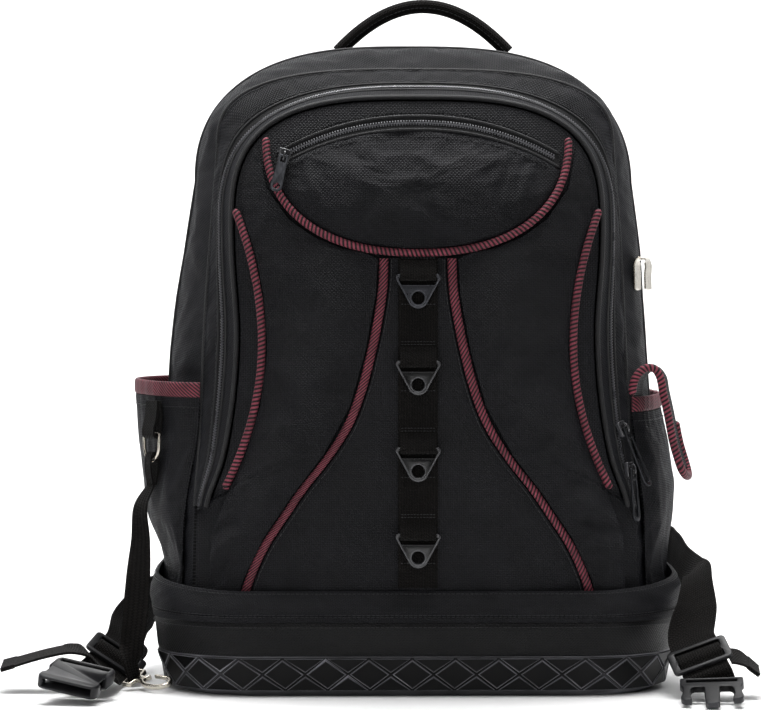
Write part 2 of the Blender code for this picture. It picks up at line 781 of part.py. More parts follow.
def pull_outlines(length, open_frame):
    top = 0.0009
    end = (0.0, -length + 0.0045)
    outline = [(0.0034, top), (0.0036, -0.006)]
    outline += arc(end, 0.0045, 0, -180, 7)
    outline += [(-0.0036, -0.006), (-0.0034, top)]
    bail_hole = rounded(0.0017, 0.00205, 0.0008, (0.0, -0.00285), 2)
    if open_frame:
        half = (length - 0.011) / 2
        hole = rounded(0.0024, half, 0.0015, (0.0, -0.0078 - half), 2)
    else:
        hole = arc((0.0, end[1]), 0.0024, 0, 315, 8)
    return outline, bail_hole, hole


def zip_pull(name, length, open_frame, finish):
    """The tab, with its own origin on the bar that the bail holds."""
    return plate(name, pull_outlines(length, open_frame), 0.0016, finish)


# Sliders on the side zipper: height of the seat, length of the pull, and the way it hangs up from its tip
SIDE_SLIDERS = {
    "upper": (0.1920, 0.046, (-0.37, 0.08, 0.925)),
    "lower": (0.1630, 0.038, (-0.06, 0.12, 0.990)),
}
SIDE_SLIDER_ACROSS = (0.62, 0.78, 0.0)
SIDE_SLIDER_SEAT = 0.0018
TOP_SLIDER_X = -0.0965
TOP_PULL_UP = (0.24, 0.22, 0.945)


def hang_pull(names, spot, slider_up, across, pull_up, length, open_frame, finishes):
    """A slider on its seat, and a pull that hangs from its bail."""
    slider = place(zip_slider(names[0], finishes["dark_metal"]), spot, across, slider_up)
    axis = slider.matrix_world @ Vector((0.0, -BAIL_AXIS, 0.0))
    pull = zip_pull(names[1], length, open_frame, finishes["pull_metal"])
    place(pull, axis, across, pull_up)


def pulls(finishes):
    height = float(zip_height(TOP_SLIDER_X)) - 0.001
    depth = float(front_surface(TOP_SLIDER_X, height)) - LIFT - CLOTH - 7 * GAP
    across = (1.0, 0.0, 0.0)
    spot = (TOP_SLIDER_X, depth, height)
    names = ("top_slider", "top_pull")
    hang_pull(names, spot, (0.24, 0.0, 0.97), across, TOP_PULL_UP, 0.0275, False, finishes)
    out = np.array((SIDE_SLIDER_ACROSS[1], -SIDE_SLIDER_ACROSS[0], 0.0))
    for word, (height, length, pull_up) in SIDE_SLIDERS.items():
        spot = np.array((half_width("zip", height), seam_depth("zip", height), height), float)
        spot += out * SIDE_SLIDER_SEAT
        slider_up = (pull_up[0], 0.0, pull_up[2])
        names = (f"side_slider_{word}", f"side_pull_{word}")
        hang_pull(names, spot, slider_up, SIDE_SLIDER_ACROSS, pull_up, length, True, finishes)


# The base


def plan(size, radius, count, phase=0.0):
    """A round-cornered plan from the middle of the front, an equal length apart."""
    half_wide, half_deep = size
    straight = [(0.0, -half_deep)]
    for turn, (sx, sy) in enumerate(((1, -1), (1, 1), (-1, 1), (-1, -1))):
        bend = radius if sy < 0 else radius * BACK_CORNER_SHARE
        centre = (sx * (half_wide - bend), sy * (half_deep - bend))
        straight += arc(centre, bend, 90 * turn - 90, 90 * turn, 24)
    straight.append((0.0, -half_deep))
    line = evenly(np.array(straight), 720)
    shares = (np.arange(count) + phase) / count % 1.0
    return np.column_stack([np.interp(shares * 720, np.arange(721), line[:, axis]) for axis in (0, 1)])


def at_height(flat, height):
    return np.column_stack([flat, np.broadcast_to(height, len(flat))])


def base_tray(finishes):
    """A shallow tray whose wall carries raised diamonds between two rows of raised triangles."""
    posts = plan(TRAY_LOW_PLAN, CORNER - 0.006, PAD_COUNT, PAD_PHASE + 0.5)
    tops = plan(TRAY_TOP_PLAN, CORNER, PAD_COUNT, PAD_PHASE + 0.5)
    crossing_plan = [(low + top) / 2 for low, top in zip(TRAY_LOW_PLAN, TRAY_TOP_PLAN)]
    crossings = plan(crossing_plan, CORNER - 0.003, PAD_COUNT, PAD_PHASE)
    under = plan(FLOOR_PLAN, CORNER - 0.009, PAD_COUNT, PAD_PHASE + 0.5)
    inner_low = plan([v - 0.0040 for v in TRAY_LOW_PLAN], CORNER - 0.010, PAD_COUNT, PAD_PHASE + 0.5)
    inner_top = plan([v - 0.0035 for v in TRAY_TOP_PLAN], CORNER - 0.0035, PAD_COUNT, PAD_PHASE + 0.5)
    shape = bmesh.new()
    rings = {}
    layers = (
        ("under", under, 0.0),
        ("low", posts, PAD_LOW),
        ("cross", crossings, (PAD_LOW + PAD_HIGH) / 2),
        ("high", tops, PAD_HIGH),
        ("rim", tops, TRAY_TOP),
        ("inner_rim", inner_top, TRAY_TOP),
        ("inner_floor", inner_low, TRAY_FLOOR),
    )
    for word, flat, height in layers:
        rings[word] = [shape.verts.new(point) for point in at_height(flat, height)]
    joined = (("under", "low"), ("high", "rim"), ("rim", "inner_rim"), ("inner_rim", "inner_floor"))
    pads = []
    for here in range(PAD_COUNT):
        after = (here + 1) % PAD_COUNT
        low, high, cross = rings["low"], rings["high"], rings["cross"]
        pads.append(shape.faces.new((cross[here], low[here], cross[after], high[here])))
        pads.append(shape.faces.new((low[here], low[after], cross[after])))
        pads.append(shape.faces.new((cross[after], high[after], high[here])))
        for lower, upper in joined:
            quad = (rings[lower][here], rings[lower][after], rings[upper][after], rings[upper][here])
            shape.faces.new(quad)
    shape.faces.new(rings["under"])
    shape.faces.new(rings["inner_floor"])
    bmesh.ops.recalc_face_normals(shape, faces=shape.faces)
    bmesh.ops.inset_individual(shape, faces=pads, thickness=PAD_MARGIN, depth=PAD_RISE)
    mesh = bpy.data.meshes.new("base_tray")
    shape.to_mesh(mesh)
    shape.free()
    add_object("base_tray", mesh, finishes["moulded"])


def side_share(flat):
    """0 at the front and 1 at the sides and back, for the lip's top edge."""
    forward = np.clip(-flat[:, 1] / 0.115, 0.0, 1.0)
    return 1 - forward**1.5


def base_bands(finishes):
    steps = 38
    rows = ((0.1922, 0.1128, TRAY_TOP + GAP), (0.1945, 0.1148, COATED_TOP))
    outer = np.array([at_height(plan((w, d), CORNER, steps), z) for w, d, z in rows])
    inner = []
    for w, d, z in rows:
        inner.append(at_height(plan((w - BAND_WALL, d - BAND_WALL), CORNER - BAND_WALL, steps), z))
    inner = np.array(inner)
    wall("coated_band", outer, inner, finishes["coated"], wrap=True)
    outer = []
    inner = []
    for w, d, share in ((0.1950, 0.1150, 0.0), (0.1966, 0.1166, 0.5), (0.1958, 0.1158, 1.0)):
        flat = plan((w, d), CORNER, steps)
        top = LIP_FRONT_TOP + (LIP_SIDE_TOP - LIP_FRONT_TOP) * side_share(flat)
        height = COATED_TOP + GAP + share * (top - COATED_TOP - GAP)
        outer.append(at_height(flat, height))
        close = BAND_WALL + 0.0010 * share
        inner.append(at_height(plan((w - close, d - close), CORNER - close, steps), height))
    wall("lip_band", np.array(outer), np.array(inner), finishes["cloth"], wrap=True)


# Handle and side pockets


def handle(finishes):
    share = np.linspace(-1.0, 1.0, 61)
    x = HANDLE_CENTRE + HANDLE_SPAN * share
    z = HANDLE_TOP - (HANDLE_TOP - HANDLE_FOOT) * share**2
    line = evenly(np.column_stack([x, np.full(61, HANDLE_DEPTH), z]), 14)
    sweep("handle", line, (0, 1, 0), circle(HANDLE_RADIUS, 6, 0.87), finishes["webbing"])


def pocket_point(word, z, share):
    """The side pocket's outer face at a height and a share of its way from front to back."""
    rows = np.array(POCKET_ROWS[word])
    start_x, start_y, reach = np.moveaxis(through(rows[:, 0], rows[:, 1:], z), -1, 0)
    end_x, end_y = POCKET_BACK[word]
    bulge = reach - (start_x + end_x) / 2
    x = start_x + (end_x - start_x) * share + bulge * np.sin(math.pi * share) ** 0.5
    y = start_y + (end_y - start_y) * share
    return np.stack(np.broadcast_arrays(SIDES[word] * x, y, z), axis=-1)


def side_pocket(word, finishes):
    """A pocket wall round three sides, and the binding along its mouth."""
    side = SIDES[word]
    share = 0.5 - 0.5 * np.cos(np.linspace(0.0, math.pi, 12))
    top = POCKET_ROWS[word][-1][0]
    levels = [row[0] for row in POCKET_ROWS[word]]
    outer = np.array([pocket_point(word, np.full(len(share), level), share) for level in levels])
    outer[-1, :, 2] += POCKET_RISE * share
    wall(f"{word}_pocket", outer, thickened(outer, side * CLOTH), finishes["cloth"])
    rim = outer[-1] + np.array((0.0, 0.0, GAP))
    band = np.array([rim, rim + np.array((0.0, 0.0, POCKET_BIND))])
    front = thickened(band, -side * 0.0009)
    wall(f"{word}_pocket_binding", front, thickened(band, side * (CLOTH + 0.0009)), finishes["binding"])


# The flap over the right pocket, thrown open: across and up
FLAP_ROWS = (
    (0.1580, 0.2172),
    (0.1595, 0.2280),
    (0.1645, 0.2350),
    (0.1725, 0.2378),
    (0.1775, 0.2325),
    (0.1805, 0.2200),
    (0.1838, 0.2050),
    (0.1888, 0.1800),
    (0.1938, 0.1635),
)
FLAP_FRONT = -0.0770
FLAP_BACK = -0.0540
FLAP_SLANT = 0.0080
FLAP_EDGE = 0.0034


def flap(finishes):
    line = route([(x, 0.0, z) for x, z in FLAP_ROWS], 10)
    back = line + np.array((FLAP_SLANT, FLAP_BACK, 0.0))
    front = line + np.array((0.0, FLAP_FRONT, 0.0))
    grid = np.array([front, back])
    wall("flap", grid, thickened(grid, 0.0022), finishes["cloth"])
    clear = np.array((0.0, FLAP_EDGE + GAP, 0.0))
    down = np.array((0.0004, 0.0, -FLAP_EDGE - GAP))
    tip = [front[-1] + down, back[-1] + down]
    path = np.concatenate([front - clear, tip, (back + clear)[:3:-1]])
    sweep("flap_binding", path, (0.5, 0.6, 0.9), circle(FLAP_EDGE - GAP, 5), finishes["binding"])


# The clip's bent plate: across and up
CLIP_ROWS = (
    (0.1668, 0.2950),
    (0.1665, 0.3120),
    (0.1678, 0.3170),
    (0.1708, 0.3188),
    (0.1740, 0.3165),
    (0.1746, 0.3090),
    (0.1743, 0.3000),
    (0.1763, 0.2952),
)
CLIP_DEPTH = -0.032
CLIP_WIDTH = 0.018


def side_clip(finishes):
    """A spring clip of bent plate on the right side."""
    line = route([(x, CLIP_DEPTH, z) for x, z in CLIP_ROWS], 12)
    sweep("side_clip", line, (0.36, 0.93, 0.0), slab(CLIP_WIDTH, 0.0012), finishes["nickel"])


# Left side: loop, ring, strap and snap hook

LOOP_SHARE = 0.175
LOOP_OFF = 0.0050
LOOP_LEAN = 0.0016
LOOP_SEAM = 0.2125
LOOP_WIDTH = 0.0185
D_BAR = 0.1880
D_HALF = 0.0115
D_WIRE = 0.0013


def loop_frame():
    """Where the loop hangs on the left pocket: the place at floor level, the way across it and the way out."""
    height = 0.2
    spot, ahead = (pocket_point("left", height, LOOP_SHARE + step) for step in (0.0, 0.02))
    across = spot - ahead
    across /= np.linalg.norm(across)
    out = np.array((across[1], -across[0], 0.0))
    return spot * (1, 1, 0) + out * LOOP_OFF, across, out


def hung(rows):
    """Points out from the left pocket's loop and up from the floor."""
    origin, across, out = loop_frame()
    return [origin + out * away + across * aside + (0, 0, height) for away, aside, height in rows]


def ring_loop(finishes):
    """Webbing folded round the bar of the D-ring."""
    half = (
        (0.0011, 0.0, LOOP_SEAM),
        (0.0022, 0.0, D_BAR + 0.0120),
        (0.0028, 0.0, D_BAR + 0.0030),
        (0.0022, 0.0, D_BAR - 0.0020),
        (0.0000, 0.0, D_BAR - 0.0030),
    )
    back = [(-away, aside, height) for away, aside, height in half[-2::-1]]
    rows = []
    for away, aside, height in (*half, *back):
        rows.append((away - LOOP_LEAN * (height > D_BAR + 0.005), aside, height))
    line = route(hung(rows), 18)
    sweep("ring_loop", line, loop_frame()[1], slab(LOOP_WIDTH, WEBBING), finishes["webbing"])


def d_ring(finishes):
    outline = [(D_HALF, 0.0), (D_HALF, -0.006)]
    outline += arc((0.0, -0.0085), D_HALF, -12, -168, 9)
    outline += [(-D_HALF, -0.006), (-D_HALF, 0.0)]
    path = hung([(0.0, aside, D_BAR + rise) for aside, rise in outline])
    sweep("d_ring", path, loop_frame()[2], circle(D_WIRE, 6), finishes["nickel"], closed=True)


# The strap's fold over the D-ring: out from the pocket, across and up
FOLD_ROWS = (
    (-0.0012, 0.0, 0.1500),
    (-0.0026, 0.0, 0.1590),
    (-0.0029, 0.0, 0.1680),
    (-0.0020, 0.0, 0.1722),
    (0.0000, 0.0, 0.1740),
    (0.0020, 0.0, 0.1722),
    (0.0029, 0.0, 0.1680),
    (0.0026, 0.0, 0.1590),
    (0.0009, 0.0, 0.1500),
)
FOLD_WIDTH = 0.0100
# Below the fold: position, the direction of the strap's width, and the width
HANGING_ROWS = (
    (-0.2036, -0.0625, 0.1350, 0.80, -0.600, 0.0, 0.0130),
    (-0.2034, -0.0655, 0.1100, 0.90, -0.430, 0.0, 0.0160),
    (-0.2046, -0.0685, 0.0880, 0.96, -0.280, 0.0, 0.0185),
    (-0.2055, -0.0700, 0.0720, 0.97, -0.220, 0.0, 0.0195),
    (-0.2075, -0.0700, 0.0500, 0.96, -0.260, 0.0, 0.0195),
    (-0.2095, -0.0690, 0.0340, 0.95, -0.300, 0.0, 0.0190),
)
HOOK_PLACE = Vector((-0.2082, -0.0665, 0.0085))
HOOK_ALONG = Vector((0.80, -0.58, -0.05)).normalized()
HOOK_TILT = 24
HOOK_THICK = 0.0036
EYE_HALF = 0.0085


def hook_frame():
    """The hook's way along, its way left and its upper side."""
    left = Vector((0, 0, 1)).cross(HOOK_ALONG).normalized()
    up = HOOK_ALONG.cross(left)
    tilt = math.radians(HOOK_TILT)
    return HOOK_ALONG, left * math.cos(tilt) + up * math.sin(tilt), up * math.cos(tilt) - left * math.sin(tilt)


def hanging_strap(finishes):
    across = loop_frame()[1]
    _, left, up = hook_frame()
    eye = HOOK_PLACE + HOOK_ALONG * GAP
    fold = [(*spot, *across, FOLD_WIDTH) for spot in hung(FOLD_ROWS)]
    rows = [fold[-1], *HANGING_ROWS]
    for rise, width in ((0.0120, 0.0150), (0.0040, 0.0135), (-0.0010, 0.0135)):
        rows.append((*(eye + up * rise), *left, width))
    line = np.concatenate([route(fold, 11)[:-1], route(rows, 14)])
    ribbon("hanging_strap", line, WEBBING, finishes["webbing"])


def hook_outline():
    """Eye and open hook, along +X from the middle of the eye's slot."""

    def oval(reach, rise, start, end, count):
        turn = np.radians(np.linspace(start, end, count))
        return [(0.0215 + reach * math.cos(a), rise * math.sin(a)) for a in turn]

    neck = [(0.0050, -0.0035), (0.0035, -0.0108), (-0.0034, -0.0108)]
    neck += [(-0.0034, 0.0108), (0.0035, 0.0108), (0.0050, 0.0035)]
    outside = oval(0.0135, 0.0090, 60, -160, 11)
    far = oval(0.0135, 0.0090, 160, 138, 3)
    return outside + neck + far + oval(0.0103, 0.0058, 138, 180, 3) + oval(0.0103, 0.0058, -165, 60, 9)


# The gate's hinge in the hook's own frame, and the gate's length
GATE_HINGE = (0.0162, 0.0065)
GATE_LENGTH = 0.0104


def snap_hook(finishes):
    """A small cast hook with a sprung gate across its mouth."""
    along, left, up = hook_frame()
    eye = rounded(0.0017, EYE_HALF, 0.0008, (0.0, 0.0), 2)
    hook = plate("snap_hook", [hook_outline(), eye], HOOK_THICK, finishes["nickel"])
    place(hook, HOOK_PLACE, along, left)
    outline = arc((0.0, 0.0), 0.0011, 90, 270, 4) + [(GATE_LENGTH, -0.0009), (GATE_LENGTH, 0.0009)]
    gate = plate("snap_gate", [outline], HOOK_THICK - 0.0008, finishes["nickel"])
    place(gate, HOOK_PLACE + along * GATE_HINGE[0] + left * GATE_HINGE[1], along, left)


# Waist straps down to their slides: position, the direction of the webbing's width, and the width
WAIST_WIDTH = 0.0345
LEFT_WAIST_ROWS = (
    (-0.1868, 0.1068, 0.0560, 0.10, 0.00, -1.00, 0.0345),
    (-0.2020, 0.0900, 0.0540, 0.12, 0.00, -1.00, 0.0345),
    (-0.2085, 0.0550, 0.0490, 0.25, 0.05, -0.97, 0.0345),
    (-0.2140, 0.0250, 0.0450, 0.45, 0.05, -0.89, 0.0345),
    (-0.2180, 0.0020, 0.0375, 0.65, 0.00, -0.76, 0.0345),
)
RIGHT_WAIST_ROWS = (
    (0.1862, 0.1062, 0.0940, 0.05, 0.00, 1.00, 0.0345),
    (0.2010, 0.0900, 0.0940, 0.05, 0.00, 1.00, 0.0345),
    (0.2055, 0.0550, 0.0900, 0.12, 0.05, 0.98, 0.0345),
    (0.2070, 0.0150, 0.0820, 0.25, 0.05, 0.95, 0.0340),
    (0.2085, -0.0180, 0.0820, 0.50, 0.20, 0.75, 0.0290),
    (0.2100, -0.0420, 0.0850, 0.80, 0.30, 0.48, 0.0240),
    (0.2082, -0.0600, 0.0785, 0.85, 0.30, 0.38, 0.0235),
    (0.2062, -0.0770, 0.0640, 0.90, 0.30, 0.31, 0.0290),
)
# Slides and buckle halves: place, right and up
LEFT_SLIDE = ((-0.2235, -0.0400, 0.0223), (0.82, -0.12, -0.54), (0.35, 0.85, 0.40))
RIGHT_SLIDE = ((0.2030, -0.1175, 0.0303), (0.94, 0.00, 0.34), (-0.20, 0.78, 0.55))
LEFT_BUCKLE = ((-0.2438, -0.1347, 0.0168), (0.95, -0.21, -0.19), (-0.25, -0.95, -0.18))
RIGHT_BUCKLE = ((0.2072, -0.1534, 0.0111), (0.99, -0.10, 0.05), (-0.10, -0.95, -0.26))
# From each buckle half's own origin to the end of its bar, and down to the webbing under the bar
FEMALE_BAR = (0.0230, 0.0055)
MALE_BAR = (0.0150, 0.0037)
# Loose ends beyond the slides
TAIL_THICK = 0.0018
LEFT_TAIL_ROWS = (
    (-0.2380, -0.0605, 0.0216, 0.15, -0.97, -0.04),
    (-0.2460, -0.0680, 0.0284, 0.10, -0.97, -0.14),
    (-0.2565, -0.0745, 0.0305, 0.10, -0.97, -0.20),
    (-0.2685, -0.0755, 0.0285, 0.10, -0.97, -0.20),
    (-0.2805, -0.0760, 0.0255, 0.10, -0.97, -0.20),
    (-0.2925, -0.0760, 0.0220, 0.10, -0.98, -0.18),
    (-0.3040, -0.0760, 0.0188, 0.10, -0.98, -0.18),
)
RIGHT_TAIL_ROWS = (
    (0.2235, -0.1180, 0.0302, 0.10, 0.96, 0.24),
    (0.2320, -0.1170, 0.0288, 0.10, 0.97, 0.25),
    (0.2365, -0.1170, 0.0262, 0.10, 0.98, 0.18),
    (0.2410, -0.1170, 0.0226, 0.10, 0.98, 0.15),
    (0.2455, -0.1170, 0.0190, 0.10, 0.99, 0.12),
)


def frame_of(setting):
    """A piece's place, right, back and up, each direction square to the others."""
    spot, right, up = (np.array(value) for value in setting)
    up = up / np.linalg.norm(up)
    right = right - right.dot(up) * up
    right /= np.linalg.norm(right)
    return spot, right, np.cross(up, right), up


def to_buckle(slide, buckle, bar):
    """Webbing rows behind a slide and on to the underside of the buckle's bar."""
    spot, right, back, up = frame_of(slide)
    rows = []
    for along, behind in ((0.0210, 0.0030), (0.0100, 0.0028), (-0.0100, 0.0028), (-0.0170, 0.0026)):
        rows.append((*(spot + along * up + behind * back), *right))
    spot, right, back, up = frame_of(buckle)
    reach, drop = bar
    for past in (0.0085, 0.0015, -0.0045):
        rows.append((*(spot - (reach + past) * up - (drop + WEBBING / 2) * back), *right))
    return of_width(rows, WAIST_WIDTH)


def strap_slide(name, finish):
    """A ladder slide of three bars, in its own XZ plane."""
    outline = rounded(0.0222, 0.0115, 0.0035)
    slots = [rounded(0.0182, 0.0032, 0.0010, (0.0, side * 0.0052), 2) for side in (-1, 1)]
    return plate(name, [outline, *slots], 0.0030, finish)


def female_buckle(name, finish):
    """The socket half, in its own frame: X across, Z from its bar to its mouth."""
    outline = rounded(0.0225, 0.0230, 0.0060)
    slot = rounded(0.0180, 0.0027, 0.0010, (0.0, -0.0172), 2)
    body = plate(name, [outline, slot], 0.0100, finish)
    socket = plate(f"{name}_socket", [rounded(0.0185, 0.0190, 0.0020, (0.0, 0.0080), 2)], 0.0060, finish)
    windows = plate(f"{name}_windows", [rounded(0.0300, 0.0080, 0.0020, (0.0, 0.0050), 2)], 0.0059, finish)
    for cutter in (socket, windows):
        cutter.parent = body
        combine(body, cutter, "DIFFERENCE")
    return body


def male_buckle(name, finish):
    """The three-pronged half, in its own frame: X across, Z from its bar to its tips."""
    right = [(0.0225, -0.0150), (0.0225, -0.0030), (0.0200, 0.0010), (0.0210, 0.0120), (0.0220, 0.0180)]
    right += [(0.0185, 0.0240), (0.0140, 0.0240), (0.0155, 0.0150), (0.0140, 0.0020), (0.0055, 0.0010)]
    right += [(0.0050, 0.0290), (0.0035, 0.0310)]
    left = [(-x, z) for x, z in reversed(right)]
    slot = rounded(0.0180, 0.0027, 0.0010, (0.0, -0.0098), 2)
    return plate(name, [right + left, slot], 0.0050, finish)


def waist_straps(finishes):
    """Both waist straps with their slides, buckle halves and loose ends."""
    webbing = finishes["webbing"]
    plastic = finishes["plastic"]
    rows = [*LEFT_WAIST_ROWS, *to_buckle(LEFT_SLIDE, LEFT_BUCKLE, FEMALE_BAR)]
    ribbon("left_waist_strap", route(rows, 22), WEBBING, webbing)
    place(strap_slide("left_strap_slide", plastic), *LEFT_SLIDE)
    place(female_buckle("left_buckle", plastic), *LEFT_BUCKLE)
    ribbon("left_strap_tail", route(of_width(LEFT_TAIL_ROWS, 0.032), 8), TAIL_THICK, webbing)
    rows = [*RIGHT_WAIST_ROWS, *to_buckle(RIGHT_SLIDE, RIGHT_BUCKLE, MALE_BAR)]
    ribbon("right_waist_strap", route(rows, 20), WEBBING, webbing)
    place(strap_slide("right_strap_slide", plastic), *RIGHT_SLIDE)
    place(male_buckle("right_buckle", plastic), *RIGHT_BUCKLE)
    ribbon("right_strap_tail", route(of_width(RIGHT_TAIL_ROWS, 0.028), 6), TAIL_THICK, webbing)


# Shoulder straps on the carrying side: across, depth, height, then the width direction
SHOULDER_ROWS = (
    (0.0450, 0.1067, 0.4380, 1.00, 0.00, 0.00),
    (0.0480, 0.1165, 0.4180, 1.00, 0.00, 0.00),
    (0.0560, 0.1390, 0.3800, 1.00, 0.00, 0.05),
    (0.0700, 0.1560, 0.3300, 0.98, 0.00, 0.20),
    (0.0900, 0.1600, 0.2800, 0.94, -0.05, 0.33),
    (0.1100, 0.1560, 0.2350, 0.92, -0.08, 0.38),
    (0.1230, 0.1480, 0.2000, 0.94, -0.10, 0.30),
    (0.1290, 0.1432, 0.1812, 0.97, -0.10, 0.24),
)
SHOULDER_WEB_ROWS = (
    (0.1341, 0.1391, 0.1634, 0.97, -0.10, 0.26),
    (0.1360, 0.1365, 0.1580, 0.96, -0.10, 0.25),
    (0.1400, 0.1310, 0.1450, 0.97, -0.10, 0.22),
    (0.1460, 0.1160, 0.1180, 0.98, -0.05, 0.15),
    (0.1490, 0.1020, 0.1000, 1.00, 0.00, 0.10),
)


STRAP_PAD_WIDTH = 0.062
STRAP_PAD_THICK = 0.011


def mirrored(rows, side):
    """Route rows for one side of the body, with the width direction kept pointing right."""
    return np.array(rows, float) * (side, 1, 1, 1, side, side)


def shoulder_straps(finishes):
    for word, side in SIDES.items():
        line = route(mirrored(SHOULDER_ROWS, side), 13)
        profile = pad(STRAP_PAD_WIDTH, STRAP_PAD_THICK, 0.007)
        sweep(f"{word}_shoulder_strap", line[:, :3], line[:, 3:], profile, finishes["mesh"])
        web = mirrored(SHOULDER_WEB_ROWS, side)
        line = route(of_width(web, 0.025), 8)
        ribbon(f"{word}_shoulder_webbing", line, WEBBING, finishes["webbing"])
        slide = plate(
            f"{word}_shoulder_slide",
            [rounded(0.0170, 0.0085, 0.003), rounded(0.0136, 0.0022, 0.0008, (0.0, 0.0038), 2)],
            0.0030,
            finishes["plastic"],
        )
        place(slide, (side * 0.1312, 0.1420, 0.1720), (1.0, 0.0, side * 0.25), (-side * 0.24, 0.26, 0.93))


def build():
    clear_scene()
    finishes = {
        "cloth": material("woven ballistic nylon", (0.022, 0.022, 0.025), 0.75),
        "mesh": material("padded spacer mesh", (0.020, 0.020, 0.022), 0.90),
        "piping": material("black corded piping", (0.012, 0.012, 0.014), 0.60),
        "zip": material("nylon coil zipper", (0.030, 0.030, 0.032), 0.55),
        "binding": material("red striped binding tape", (0.36, 0.075, 0.11), 0.70),
        "webbing": material("black nylon webbing", (0.028, 0.026, 0.024), 0.80),
        "steel": material("blackened steel", (0.050, 0.050, 0.055), 0.35, 0.9),
        "dark_metal": material("gunmetal zip slider", (0.090, 0.090, 0.095), 0.35, 0.9),
        "pull_metal": material("brushed zip pull", (0.300, 0.300, 0.290), 0.35, 0.9),
        "nickel": material("nickel plated steel", (0.750, 0.740, 0.710), 0.20, 1.0),
        "plastic": material("black acetal", (0.025, 0.025, 0.027), 0.40),
        "moulded": material("moulded rubber base", (0.030, 0.030, 0.034), 0.50),
        "coated": material("coated base band", (0.040, 0.040, 0.042), 0.45),
    }
    base_tray(finishes)
    base_bands(finishes)
    front_panel(finishes)
    front_compartment(finishes)
    rear_compartment(finishes)
    top_pocket(finishes)
    front_pouches(finishes)
    centre_strips(finishes)
    ladder(finishes)
    pulls(finishes)
    handle(finishes)
    for word in SIDES:
        side_pocket(word, finishes)
    flap(finishes)
    side_clip(finishes)
    ring_loop(finishes)
    d_ring(finishes)
    hanging_strap(finishes)
    snap_hook(finishes)
    waist_straps(finishes)
    shoulder_straps(finishes)


build()
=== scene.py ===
"""Looks of the tool backpack: cloth, webbing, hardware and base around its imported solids.

Metres, +Z up, front towards -Y. The origin is the centre of the base's underside.
"""

import math

import bmesh
import bpy
import numpy as np
from mathutils import Matrix, Vector


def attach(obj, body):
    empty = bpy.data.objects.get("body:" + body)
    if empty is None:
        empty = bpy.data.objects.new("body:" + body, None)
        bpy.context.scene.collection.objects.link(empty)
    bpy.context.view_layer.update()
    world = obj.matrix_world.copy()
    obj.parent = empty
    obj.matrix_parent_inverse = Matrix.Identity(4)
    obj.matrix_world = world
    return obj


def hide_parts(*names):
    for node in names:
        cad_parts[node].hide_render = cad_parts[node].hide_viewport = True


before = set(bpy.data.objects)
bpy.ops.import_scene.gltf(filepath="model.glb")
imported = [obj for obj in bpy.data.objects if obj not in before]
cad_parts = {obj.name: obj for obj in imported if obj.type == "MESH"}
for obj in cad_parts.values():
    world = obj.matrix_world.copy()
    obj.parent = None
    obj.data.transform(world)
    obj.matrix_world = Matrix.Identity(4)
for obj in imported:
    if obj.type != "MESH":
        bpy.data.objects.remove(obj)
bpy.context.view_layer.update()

THREADS = "threads"
SIDES = {"left": -1, "right": 1}

# Camera

scene = bpy.context.scene
lens = bpy.data.cameras.new("photo_camera")
lens.lens = 131.4
lens.sensor_width = 36.0
camera = bpy.data.objects.new("photo_camera", lens)
scene.collection.objects.link(camera)
camera.location = (-0.05, -2.115, 0.26)
aim = Vector((-0.027, -0.115, 0.247)) - camera.location
camera.rotation_euler = aim.to_track_quat("-Z", "Y").to_euler()
scene.camera = camera
scene.view_settings.view_transform = "Standard"


# Finishes


def linear(code):
    """An sRGB hex colour as linear light."""
    parts = [int(code[at : at + 2], 16) / 255 for at in (1, 3, 5)]
    return (*[p / 12.92 if p <= 0.04045 else ((p + 0.055) / 1.055) ** 2.4 for p in parts], 1.0)


def add(tree, kind, links=None, out=0, **settings):
    """A new node with its settings, and each input set or linked. Gives one of its outputs."""
    made = tree.nodes.new("ShaderNode" + kind)
    for key, value in settings.items():
        setattr(made, key, value)
    for socket, value in (links or {}).items():
        if isinstance(value, bpy.types.NodeSocket):
            tree.links.new(value, made.inputs[socket])
        else:
            made.inputs[socket].default_value = value
    return made.outputs[out]


def finish_of(name, roughness, metallic=0.0, **sockets):
    """A material, its node tree and its shader, with the constant sockets set."""
    made = bpy.data.materials.new(name)
    made.use_nodes = True
    shader = made.node_tree.nodes["Principled BSDF"]
    shader.inputs["Roughness"].default_value = roughness
    shader.inputs["Metallic"].default_value = metallic
    for key, value in sockets.items():
        shader.inputs[key.replace("_", " ")].default_value = value
    return made, made.node_tree, shader


def join(tree, source, shader, socket):
    """Links an output to one of the shader's inputs."""
    tree.links.new(source, shader.inputs[socket])


def interlaced(tree, across, along):
    """Heights of over-and-under threads, from their widths in metres."""
    place = add(tree, "UVMap", uv_map=THREADS)
    place = add(tree, "Mapping", {"Vector": place, "Scale": (0.001 / across, 0.001 / along, 1.0)})
    crest = {"Vector": place, "Scale": 1000 * math.pi / 10}
    warp = add(tree, "TexWave", crest, bands_direction="X")
    weft = add(tree, "TexWave", crest, bands_direction="Y")
    over = add(tree, "TexChecker", {"Vector": place, "Scale": 1000.0}, 1)
    return add(tree, "Mix", {0: over, 2: warp, 3: weft})


